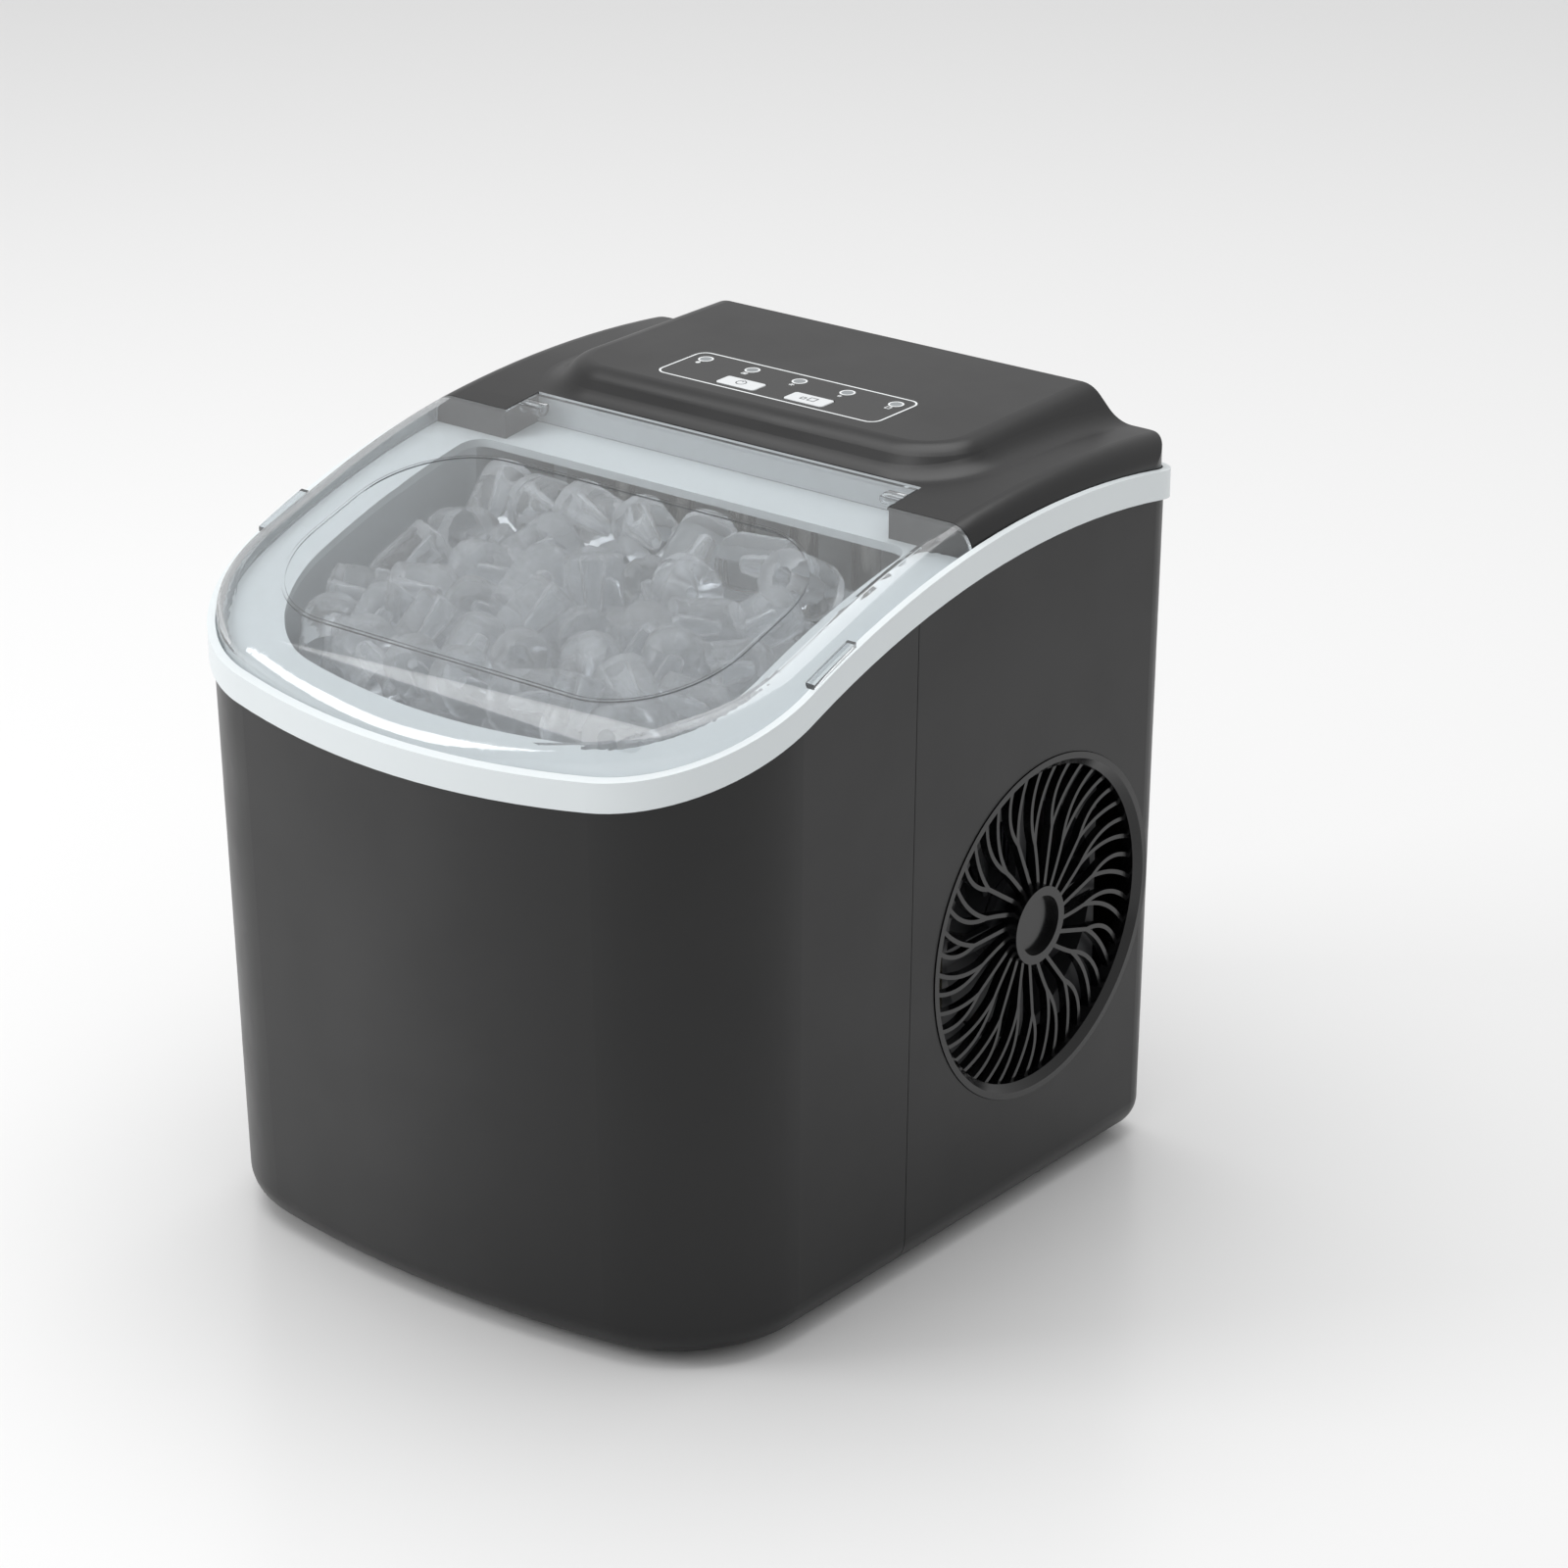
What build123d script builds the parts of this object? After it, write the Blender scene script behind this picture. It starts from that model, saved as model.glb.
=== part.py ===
from build123d import *

import os
from dataclasses import dataclass
from math import atan, cos, degrees, radians, sin, sqrt, tan

# Countertop ice maker for hollow bullet ice.
# Millimetres. Z is up and Z = 0 is the counter. -Y is the front, where the clear lid
# slopes down, +X is the right side with the air grille. X = 0 is the plane of symmetry.

# ----------------------------------------------------------------- driving dimensions
FEET_HEIGHT = 2.5
SHELL_WALL = 2.5
SHELL_TOP_Z = 262.0
SHELL_BOTTOM_ROUND = 12.0
SEAM_Y = -13.75
SEAM_GAP = 0.3
LIP_WIDTH = 20.0

CREST_Y = 68.0
CREST_Z = 256.2
CREST_RADIUS = 370.0
CREST_TANGENT_Y = -72.0
CREST_REACH = 150.0

BAND_HEIGHT = 10.5
BAND_WALL = 2.8
LEDGE_BOTTOM = 1.5
LEDGE_TOP = 4.5
LID_INSET = 3.3
LID_WALL = 2.5
LID_REAR_Y = 16.6
LID_REAR_Z = 269.8
LID_ARC_RADIUS = 372.0
LID_REAR_ANGLE = degrees(atan(0.150))
LID_SLOPE_ANGLE = degrees(atan(0.325))
LID_NOSE_Y = -108.0
LID_NOSE_RADIUS = 60.0
LID_NOSE_ANGLE = 60.0
SHOULDER_ROUND = 9.5
TONGUE_HALF_WIDTH = 86.2
TONGUE_REAR_Y = 33.6
WINDOW_HALF_WIDTH = 97.0
WINDOW_FRONT_Y = -113.0
WINDOW_REAR_Y = -13.0
WINDOW_CORNER = 40.0
FINGER_TAB_REACH = 124.6
BEAD_WIDTH = 1.2
BEAD_RISE = 0.5

COVER_FRONT_Y = 17.0
COVER_MID = (78.0, 274.2)
COVER_REAR = (139.0, 271.4)
NOTCH_HALF_WIDTH = 86.7
NOTCH_REAR_Y = 34.9
COVER_LOW_Z = 235.0
PLATEAU_FOOT_Z = 262.0
PLATEAU_TOP_Z = 283.6
PLATEAU_FOOT_HALF_WIDTH = 106.5
PLATEAU_FOOT_FRONT_Y = 26.5
PLATEAU_DRAFT = 44.0
PLATEAU_TILT = 1.2
PLATEAU_EDGE_ROUND = 11.0
PLATEAU_FOOT_ROUND = 14.0
COVER_WALL = 2.5
COVER_BOSS_TOP_Z = 272.5
COVER_BUILD_Y = 150.0

HINGE_Y = 27.0
HINGE_Z = 267.6
HINGE_PIN_RADIUS = 1.8
RUNNING_CLEARANCE = 0.05

PANEL_Y = 70.2
PANEL_WIDTH = 100.4
PANEL_DEPTH = 28.4
PANEL_CORNER = 5.0
LAMP_XS = (-43.3, -21.65, 0.0, 21.65, 43.3)
LAMP_Y = PANEL_Y + 7.4
LAMP_RADIUS = 2.2
OVERLAY_THICKNESS = 0.3
LIGHT_PIPE_LENGTH = 7.0
KEY_STEM_LENGTH = 6.2
KEY_XS = (-15.4, 15.4)
KEY_Y = PANEL_Y - 6.8
KEY_WIDTH = 17.6
KEY_DEPTH = 8.0

GRILLE_Y = 63.8
GRILLE_Z = 107.9
GRILLE_RADIUS = 64.0
GRILLE_OPENING = 59.0
GRILLE_HUB = 14.5
GRILLE_DEPTH = 7.0
RIB_STEMS = 22
RIB_WIDTH = 1.6

TUB_HALF_WIDTH = 99.0
TUB_FRONT_Y = -118.0
TUB_REAR_Y = 14.0
TUB_FLOOR_Z = 75.0
TUB_WALL = 2.5
SHELF_Z = 187.0
FOAM_THICKNESS = 8.0
FOAM_BOTTOM_Z = 66.0
BASKET_POSTS = ((70.0, -88.0), (-70.0, -88.0), (70.0, -14.0), (-70.0, -14.0))
DRAIN_TOP_Y = -8.0
CHAMBER_HALF_WIDTH = 96.5
CHAMBER_FRONT_Y = 38.0
CHAMBER_REAR_Y = 84.0

BASKET_HALF_WIDTH = 86.0
BASKET_FRONT_Y = -106.0
BASKET_REAR_Y = -2.0
BASKET_FLOOR_Z = 122.0
BASKET_RIM_Z = 204.0
BASKET_WALL = 2.2

TRAY_Y = 54.0
TRAY_Z = 228.0
TRAY_RADIUS = 22.5
TRAY_WALL = 1.8
TRAY_HALF_LENGTH = 75.0
TRAY_PIN_RADIUS = 3.0
FINGER_PITCH = 28.0
FINGER_RADIUS = 4.0

POST_INNER_X = 78.0
POST_OUTER_X = 84.0
EVAPORATOR_Z = 250.0
FINGER_TIP_Z = 215.0
TUBE_Z = 257.6
TUBE_END_Y = TRAY_Y + 24
PUMP_Y = -50.0
FLOAT_X = 42.0
CONDENSER_X = 73.0
CONDENSER_FRONT_Y = 27.0
CONDENSER_REAR_Y = 113.0
CONDENSER_ROWS = (147.0, 122.5, 98.0, 73.5)
CONDENSER_FINS = 20
CONDENSER_FIN_PITCH = 2.8
COIL_END_Y = 30
COIL_INLET_Z = 165
COIL_OUTLET_Z = 50
DRIER_LOW_Z = 56
DRIER_HIGH_Z = 134
COMPRESSOR_BOTTOM_Z = 16.5
COMPRESSOR_TOP_Z = 128
DISCHARGE_X = -30
DISCHARGE_Y = 72
DISCHARGE_Z = 178
SUCTION_X = -62
SUCTION_Y = 92
RETURN_X = -76
LIQUID_Z = 38
CAPILLARY_X = -60
CAPILLARY_Z = 214
HOT_GAS_X = -68
HOT_GAS_Z = 228
VALVE_X = 6
VALVE_Y = 108
VALVE_BOTTOM_Z = 158
VALVE_TOP_Z = 186
BOARD_FRONT_Y = 129
BOARD_THICKNESS = 1.6
DRIER_X = 40.0
FOAM_NOTCH_Y = 16.6
DRIER_Y = 98.0

FAN_X = 98.5
FAN_RADIUS = 41.5
FAN_BLADES = 7

COMPRESSOR_X = -48.0
COMPRESSOR_Y = 72.0
COMPRESSOR_RADIUS = 45.0
COMPRESSOR_FEET = ((-88.0, 37.0), (-8.0, 37.0), (-48.0, 122.0))

GLAND_X = 5.0
GLAND_Z = 45.0
GLAND_BORE = 3.6
DRAIN_X = 30.0
DRAIN_Z = 25.0
DRAIN_BORE = 4.0
REAR_WALL_Y = 137.2

FOOT_POSITIONS = ((80.0, -85.0), (-80.0, -85.0), (85.0, 100.0), (-85.0, 100.0))
BASE_SCREWS = ((103.5, -60), (-103.5, -60), (103.5, 20), (-103.5, 20), (103.5, 95), (-103.5, 95))
COVER_SCREWS = ((108.0, 60.0), (-108.0, 60.0), (108.0, 118.0), (-108.0, 118.0))


# ------------------------------------------------------------------- plan outlines
@dataclass(frozen=True)
class Outline:
    """Plan outline: a bowed front between rounded corners, straight sides and back."""

    half_width: float
    front: float
    rear: float
    bow: float
    front_corner: float
    rear_corner: float

    def inset(self, gap):
        """The same outline with every side moved inwards by gap."""
        return Outline(
            self.half_width - gap,
            self.front + gap,
            self.rear - gap,
            self.bow - gap,
            self.front_corner - gap,
            max(self.rear_corner - gap, 1.0),
        )


BASE_OUTLINE = Outline(119.5, -131.5, REAR_WALL_Y, 438.0, 52.0, 12.0)
TOP_OUTLINE = Outline(123.2, -140.4, 138.4, 354.0, 58.0, 14.0)
BAND_OUTLINE = Outline(125.3, -140.6, 140.6, 356.0, 60.0, 16.0)
LID_OUTLINE = BAND_OUTLINE.inset(LID_INSET)
TUB_OUTLINE = Outline(TUB_HALF_WIDTH, TUB_FRONT_Y, TUB_REAR_Y, 330.0, 46.0, 8.0)


def outline_face(outline, height):
    """The face of a plan outline at a height."""
    side_y = outline.front + outline.bow - sqrt(outline.bow**2 - outline.half_width**2)
    wide = outline.half_width
    with BuildSketch(Plane.XY.offset(height)) as plan:
        with BuildLine():
            Polyline((wide, side_y), (wide, outline.rear), (-wide, outline.rear), (-wide, side_y))
            ThreePointArc((-wide, side_y), (0, outline.front), (wide, side_y))
        make_face()
        fillet(plan.vertices().group_by(Axis.Y)[-1], radius=outline.rear_corner)
        fillet(plan.vertices().group_by(Axis.Y)[0], radius=outline.front_corner)
    return plan.sketch


# ------------------------------------------------------------------- side profiles
def crest(y):
    """Height of the band's lower edge: an arc over the back, its tangent to the front."""
    centre_z = CREST_Z - CREST_RADIUS
    if y >= CREST_TANGENT_Y:
        return centre_z + sqrt(CREST_RADIUS**2 - (y - CREST_Y) ** 2)
    run = CREST_Y - CREST_TANGENT_Y
    slope = run / sqrt(CREST_RADIUS**2 - run**2)
    return crest(CREST_TANGENT_Y) + slope * (y - CREST_TANGENT_Y)


def crest_points(rise):
    """Raised crest curve: the arc's two ends and middle, then the front end."""
    middle_y = (CREST_REACH + CREST_TANGENT_Y) / 2
    stations = (CREST_REACH, middle_y, CREST_TANGENT_Y, -CREST_REACH)
    return [(y, crest(y) + rise) for y in stations]


def between_crests_face(low, high):
    """The side face between two raised crest curves."""
    bottom = crest_points(low)
    top = crest_points(high)
    with BuildSketch(Plane.YZ) as side:
        with BuildLine():
            ThreePointArc(*bottom[:3])
            Polyline(bottom[2], bottom[3], top[3], top[2])
            ThreePointArc(*reversed(top[:3]))
            Line(top[0], bottom[0])
        make_face()
    return side.sketch


def crest_to_level_face(rise, level):
    """The side face between a raised crest curve and a level line."""
    curve = crest_points(rise)
    with BuildSketch(Plane.YZ) as side:
        with BuildLine():
            ThreePointArc(*curve[:3])
            Polyline(curve[2], curve[3], (-CREST_REACH, level), (CREST_REACH, level), curve[0])
        make_face()
    return side.sketch


def lid_curves(inset):
    """Points of the lid's side profile: rear arc, straight slope, nose arc."""

    def around(centre, radius, angle):
        a = radians(angle)
        return (centre[0] - (radius - inset) * sin(a), centre[1] + (radius - inset) * cos(a))

    rear = radians(LID_REAR_ANGLE)
    slope = radians(LID_SLOPE_ANGLE)
    arc_centre = (LID_REAR_Y + LID_ARC_RADIUS * sin(rear), LID_REAR_Z - LID_ARC_RADIUS * cos(rear))
    arc_end_y = arc_centre[0] - LID_ARC_RADIUS * sin(slope)
    arc_end_z = arc_centre[1] + LID_ARC_RADIUS * cos(slope)
    nose_z = arc_end_z + (LID_NOSE_Y - arc_end_y) * tan(slope)
    nose_centre = (LID_NOSE_Y + LID_NOSE_RADIUS * sin(slope), nose_z - LID_NOSE_RADIUS * cos(slope))
    arc = [
        around(arc_centre, LID_ARC_RADIUS, angle)
        for angle in (LID_REAR_ANGLE, (LID_REAR_ANGLE + LID_SLOPE_ANGLE) / 2, LID_SLOPE_ANGLE)
    ]
    nose = [
        around(nose_centre, LID_NOSE_RADIUS, angle)
        for angle in (LID_SLOPE_ANGLE, (LID_SLOPE_ANGLE + LID_NOSE_ANGLE) / 2, LID_NOSE_ANGLE)
    ]
    return arc, nose


def lid_profile_face(inset, floor_rise):
    """The side face under the lid's top surface, down to a raised crest curve."""
    arc, nose = lid_curves(inset)
    floor = [(y, crest(y) + floor_rise) for y in (arc[0][0], -CREST_REACH)]
    tangent = (CREST_TANGENT_Y, crest(CREST_TANGENT_Y) + floor_rise)
    middle_y = (arc[0][0] + CREST_TANGENT_Y) / 2
    with BuildSketch(Plane.YZ) as side:
        with BuildLine():
            ThreePointArc(*arc)
            Line(arc[-1], nose[0])
            ThreePointArc(*nose)
            Polyline(nose[-1], (-CREST_REACH, nose[-1][1]), floor[1], tangent)
            ThreePointArc(tangent, (middle_y, crest(middle_y) + floor_rise), floor[0])
            Line(floor[0], arc[0])
        make_face()
    return side.sketch


def cover_top(y):
    """Height of the cover's crown at a distance from the front."""
    (y0, z0), (y1, z1), (y2, z2) = (COVER_FRONT_Y, LID_REAR_Z), COVER_MID, COVER_REAR
    first = z0 * (y - y1) * (y - y2) / ((y0 - y1) * (y0 - y2))
    second = z1 * (y - y0) * (y - y2) / ((y1 - y0) * (y1 - y2))
    return first + second + z2 * (y - y0) * (y - y1) / ((y2 - y0) * (y2 - y1))


def cover_profile_face(inset, front_y, rear_y, thickness=0.0):
    """The side face under the cover's crown, down to level or of an even thickness."""
    middle_y = (front_y + rear_y) / 2
    front, middle, rear = [(y, cover_top(y) - inset) for y in (front_y, middle_y, rear_y)]
    with BuildSketch(Plane.YZ) as side:
        with BuildLine():
            ThreePointArc(front, middle, rear)
            if thickness:
                Line(rear, (rear_y, rear[1] - thickness))
                ThreePointArc(
                    (rear_y, rear[1] - thickness),
                    (middle_y, middle[1] - thickness),
                    (front_y, front[1] - thickness),
                )
                Line((front_y, front[1] - thickness), front)
            else:
                Polyline(rear, (rear_y, COVER_LOW_Z), (front_y, COVER_LOW_Z), front)
        make_face()
    return side.sketch


def shoulder_edges(builder, lowest):
    """Outer top edges of a lid or cover blank: all but the level and upright ones."""
    level = builder.edges().filter_by(Axis.X)
    upright = builder.edges().filter_by(Axis.Z)
    return [
        edge
        for edge in builder.edges()
        if edge not in level and edge not in upright and edge.center().Z > lowest(edge.center().Y)
    ]


# ---------------------------------------------------------------------- small helpers
def add_tube(points, bend, radius, bore=0.0):
    """Add a bent tube along straight runs joined by tangent arcs."""
    with BuildLine() as route:
        FilletPolyline(*points, radius=bend)
    with BuildSketch(Plane(origin=route.line @ 0, z_dir=route.line % 0)) as section:
        Circle(radius)
        if bore:
            Circle(bore, mode=Mode.SUBTRACT)
    sweep(section.sketch, path=route.line)


def add_cylinder_x(x0, x1, y, z, radius, mode=Mode.ADD):
    """Add a cylinder along X from x0 to x1."""
    with BuildSketch(Plane(origin=(x0, y, z), x_dir=(0, 1, 0), z_dir=(1, 0, 0))) as disc:
        Circle(radius)
    extrude(disc.sketch, amount=x1 - x0, mode=mode)


def add_cylinder_y(x, y0, y1, z, radius, mode=Mode.ADD):
    """Add a cylinder along Y from y0 to y1."""
    with BuildSketch(Plane(origin=(x, y0, z), x_dir=(-1, 0, 0), z_dir=(0, 1, 0))) as disc:
        Circle(radius)
    extrude(disc.sketch, amount=y1 - y0, mode=mode)


def add_cylinder_z(x, y, z0, z1, radius, mode=Mode.ADD):
    """Add a cylinder along Z from z0 to z1."""
    with BuildSketch(Plane(origin=(x, y, z0))) as disc:
        Circle(radius)
    extrude(disc.sketch, amount=z1 - z0, mode=mode)


def add_box(low, high, mode=Mode.ADD):
    """Add a box between two corners."""
    centre = ((low[0] + high[0]) / 2, (low[1] + high[1]) / 2, low[2])
    with BuildSketch(Plane(origin=centre)) as floor:
        Rectangle(high[0] - low[0], high[1] - low[1])
    extrude(floor.sketch, amount=high[2] - low[2], mode=mode)


def save(builder, name):
    """Label a finished piece and write it."""
    builder.part.label = name
    export_step(builder.part, f"parts/{name}.step")


os.makedirs("parts", exist_ok=True)

# ------------------------------------------------------------------------ outer shells
SHELL_FLOOR_Z = FEET_HEIGHT + SHELL_WALL
WALL_LEAN = atan((TOP_OUTLINE.half_width - BASE_OUTLINE.half_width) / (SHELL_TOP_Z - FEET_HEIGHT))
GRILLE_WALL_X = BASE_OUTLINE.half_width + (GRILLE_Z - FEET_HEIGHT) * tan(WALL_LEAN)
RIGHT_WALL = Plane(
    origin=(GRILLE_WALL_X, GRILLE_Y, GRILLE_Z),
    x_dir=(0, 1, 0),
    z_dir=(cos(WALL_LEAN), 0, -sin(WALL_LEAN)),
)
LEFT_WALL = Plane(
    origin=(-GRILLE_WALL_X, GRILLE_Y, GRILLE_Z),
    x_dir=(0, -1, 0),
    z_dir=(-cos(WALL_LEAN), 0, -sin(WALL_LEAN)),
)

with BuildPart() as shell_skin:
    add(outline_face(BASE_OUTLINE, FEET_HEIGHT))
    add(outline_face(TOP_OUTLINE, SHELL_TOP_Z))
    loft(ruled=True)
    fillet(shell_skin.faces().sort_by(Axis.Z)[0].edges(), radius=SHELL_BOTTOM_ROUND)

with BuildPart() as shell_core:
    add(outline_face(BASE_OUTLINE.inset(SHELL_WALL), SHELL_FLOOR_Z))
    add(outline_face(TOP_OUTLINE.inset(SHELL_WALL), SHELL_TOP_Z))
    loft(ruled=True)
    fillet(
        shell_core.faces().sort_by(Axis.Z)[0].edges(), radius=SHELL_BOTTOM_ROUND - SHELL_WALL
    )

with BuildPart() as shell_blank:
    add(shell_skin.part)
    add(shell_core.part, mode=Mode.SUBTRACT)
    extrude(
        crest_to_level_face(0, SHELL_TOP_Z + 40),
        amount=BAND_OUTLINE.half_width,
        both=True,
        mode=Mode.SUBTRACT,
    )
    extrude(
        outline_face(BASE_OUTLINE.inset(LIP_WIDTH), 0),
        amount=SHELL_FLOOR_Z + 1,
        mode=Mode.SUBTRACT,
    )
    for screw_x, screw_y in BASE_SCREWS:
        add_cylinder_z(screw_x, screw_y, 0, SHELL_FLOOR_Z + 1, 1.6, Mode.SUBTRACT)

SEAM = Plane(origin=(0, SEAM_Y, 0), z_dir=(0, 1, 0))

with BuildPart() as front_shell:
    add(shell_blank.part)
    split(bisect_by=SEAM.offset(-SEAM_GAP / 2), keep=Keep.BOTTOM)
save(front_shell, "front_shell")

with BuildPart() as rear_shell:
    add(shell_blank.part)
    split(bisect_by=SEAM.offset(SEAM_GAP / 2), keep=Keep.TOP)
    for wall in (RIGHT_WALL, LEFT_WALL):
        with BuildSketch(wall.offset(-10)):
            Circle(GRILLE_RADIUS + 0.2)
        extrude(amount=20, mode=Mode.SUBTRACT)
    add_cylinder_y(GLAND_X, 130, 142, GLAND_Z, 8.1, Mode.SUBTRACT)
    add_cylinder_y(DRAIN_X, 130, 142, DRAIN_Z, 6.2, Mode.SUBTRACT)
save(rear_shell, "rear_shell")


# ---------------------------------------------------------------------- side air grilles
def rib_faces(plane):
    """The coral-like ribs: curved stems from the hub that fork on the way out."""

    def spot(radius, angle):
        return (radius * cos(radians(angle)), radius * sin(radians(angle)))

    pitch = 360 / RIB_STEMS
    with BuildSketch(plane) as ribs:
        for index in range(RIB_STEMS):
            start = index * pitch
            fork_radius = 31 if index % 2 else 36
            fork = spot(fork_radius, start + 10)
            with BuildLine() as stem:
                Spline(spot(GRILLE_HUB - 1, start), spot(24, start + 7), fork)
            trace(stem.line, line_width=RIB_WIDTH)
            for side in (-1, 1):
                spread = side * pitch / 4
                tip = spot(GRILLE_OPENING + 0.5, start + 2 + spread)
                with BuildLine() as branch:
                    Spline(fork, spot(46, start + 9 + spread * 0.8), tip)
                trace(branch.line, line_width=RIB_WIDTH)
    return ribs.sketch


def build_grille(wall):
    """Build one round grille in the part that is open: rim, ribs, hub ring and disc."""
    with BuildSketch(wall.offset(-GRILLE_DEPTH)) as rim:
        Circle(GRILLE_RADIUS)
        Circle(GRILLE_OPENING, mode=Mode.SUBTRACT)
    extrude(rim.sketch, amount=GRILLE_DEPTH + 0.4)
    extrude(rib_faces(wall.offset(-GRILLE_DEPTH)), amount=3.2)
    with BuildSketch(wall.offset(-GRILLE_DEPTH)) as hub:
        Circle(GRILLE_HUB)
    extrude(hub.sketch, amount=6.0)
    with BuildSketch(wall.offset(-GRILLE_DEPTH + 3.0)) as hub_recess:
        Circle(GRILLE_HUB - 3.4)
    extrude(hub_recess.sketch, amount=4.0, mode=Mode.SUBTRACT)


with BuildPart() as right_grille:
    build_grille(RIGHT_WALL)
    chamfer(
        right_grille.edges().filter_by(
            lambda e: e.geom_type == GeomType.CIRCLE
            and abs(e.radius - GRILLE_OPENING) < 0.01
            and e.arc_center.X > GRILLE_WALL_X
        ),
        length=2.6,
    )
save(right_grille, "right_grille")

with BuildPart() as left_grille:
    build_grille(LEFT_WALL)
    chamfer(
        left_grille.edges().filter_by(
            lambda e: e.geom_type == GeomType.CIRCLE
            and abs(e.radius - GRILLE_OPENING) < 0.01
            and e.arc_center.X < -GRILLE_WALL_X
        ),
        length=2.6,
    )
save(left_grille, "left_grille")

# -------------------------------------------------------------------- base pan and feet
with BuildPart() as base_pan:
    extrude(outline_face(BASE_OUTLINE.inset(SHELL_BOTTOM_ROUND + 0.4), SHELL_FLOOR_Z), amount=2.5)
    add_cylinder_z(COMPRESSOR_X, COMPRESSOR_Y, 7.5, 8.5, 42)
    for screw_x, screw_y in BASE_SCREWS:
        add_cylinder_z(screw_x, screw_y, 4, 9, 1.6, Mode.SUBTRACT)
    for foot_x, foot_y in FOOT_POSITIONS:
        add_cylinder_z(foot_x, foot_y, 4, 9, 3.0, Mode.SUBTRACT)
save(base_pan, "base_pan")

with BuildPart() as rubber_feet:
    for foot_x, foot_y in FOOT_POSITIONS:
        add_cylinder_z(foot_x, foot_y, 0, SHELL_FLOOR_Z, 10)
        add_cylinder_z(foot_x, foot_y, SHELL_FLOOR_Z, 8.5, 3.0)
save(rubber_feet, "rubber_feet")

with BuildPart() as base_screws:
    for screw_x, screw_y in BASE_SCREWS:
        add_cylinder_z(screw_x, screw_y, 0.9, FEET_HEIGHT, 3.5)
        add_cylinder_z(screw_x, screw_y, FEET_HEIGHT, 12, 1.5)
save(base_screws, "base_screws")

# ------------------------------------------------------------- top frame with trim band
with BuildPart() as frame_recess:
    extrude(outline_face(BAND_OUTLINE.inset(BAND_WALL), 150), amount=150)
    extrude(
        between_crests_face(LEDGE_BOTTOM, LEDGE_TOP),
        amount=BAND_OUTLINE.half_width,
        both=True,
        mode=Mode.SUBTRACT,
    )

with BuildPart() as trim_band_frame:
    extrude(outline_face(BAND_OUTLINE, 150), amount=150)
    extrude(
        between_crests_face(0, BAND_HEIGHT),
        amount=BAND_OUTLINE.half_width + 1,
        both=True,
        mode=Mode.INTERSECT,
    )
    add(frame_recess.part, mode=Mode.SUBTRACT)
    extrude(outline_face(TUB_OUTLINE, 150), amount=150, mode=Mode.SUBTRACT)
    add_box(
        (-CHAMBER_HALF_WIDTH, CHAMBER_FRONT_Y, 200),
        (CHAMBER_HALF_WIDTH, CHAMBER_REAR_Y, 290),
        Mode.SUBTRACT,
    )
    add_box((-84, CHAMBER_REAR_Y - 1, 200), (-52, 112, 290), Mode.SUBTRACT)
    add_cylinder_z(20, 116, 200, 290, 5, Mode.SUBTRACT)
    for screw_x, screw_y in COVER_SCREWS:
        add_cylinder_z(screw_x, screw_y, 200, 290, 1.6, Mode.SUBTRACT)
save(trim_band_frame, "trim_band_frame")

# ---------------------------------------------------------------------------- clear lid
with BuildPart() as lid_skin:
    extrude(outline_face(LID_OUTLINE, 150), amount=150)
    extrude(
        lid_profile_face(0, LEDGE_TOP + 0.3),
        amount=BAND_OUTLINE.half_width,
        both=True,
        mode=Mode.INTERSECT,
    )
    fillet(
        shoulder_edges(lid_skin, lambda y: crest(y) + LEDGE_TOP + 2.5),
        radius=SHOULDER_ROUND,
    )

with BuildPart() as lid_core:
    extrude(outline_face(LID_OUTLINE.inset(LID_WALL), 150), amount=150)
    extrude(
        lid_profile_face(LID_WALL, LEDGE_TOP - 2),
        amount=BAND_OUTLINE.half_width,
        both=True,
        mode=Mode.INTERSECT,
    )
    fillet(
        shoulder_edges(lid_core, lambda y: crest(y) + LEDGE_TOP + 2.5),
        radius=SHOULDER_ROUND - LID_WALL,
    )

with BuildPart() as window_bead:
    with BuildSketch(Plane.XY.offset(200)) as bead_ring:
        with Locations((0, (WINDOW_FRONT_Y + WINDOW_REAR_Y) / 2)):
            RectangleRounded(
                2 * WINDOW_HALF_WIDTH,
                WINDOW_REAR_Y - WINDOW_FRONT_Y,
                WINDOW_CORNER,
            )
        offset(amount=-BEAD_WIDTH, mode=Mode.SUBTRACT)
    extrude(amount=80)
    extrude(
        lid_profile_face(-BEAD_RISE, LEDGE_TOP),
        amount=BAND_OUTLINE.half_width,
        both=True,
        mode=Mode.INTERSECT,
    )
    extrude(
        lid_profile_face(1.0, LEDGE_TOP - 1),
        amount=BAND_OUTLINE.half_width,
        both=True,
        mode=Mode.SUBTRACT,
    )

with BuildPart() as finger_tabs:
    for side in (-1, 1):
        tab_from, tab_to = sorted((side * (LID_OUTLINE.half_width - 1), side * FINGER_TAB_REACH))
        add_box((tab_from, -72, 200), (tab_to, -50, 260))
    extrude(
        between_crests_face(BAND_HEIGHT + 0.3, BAND_HEIGHT + 2.1),
        amount=BAND_OUTLINE.half_width,
        both=True,
        mode=Mode.INTERSECT,
    )

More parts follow.
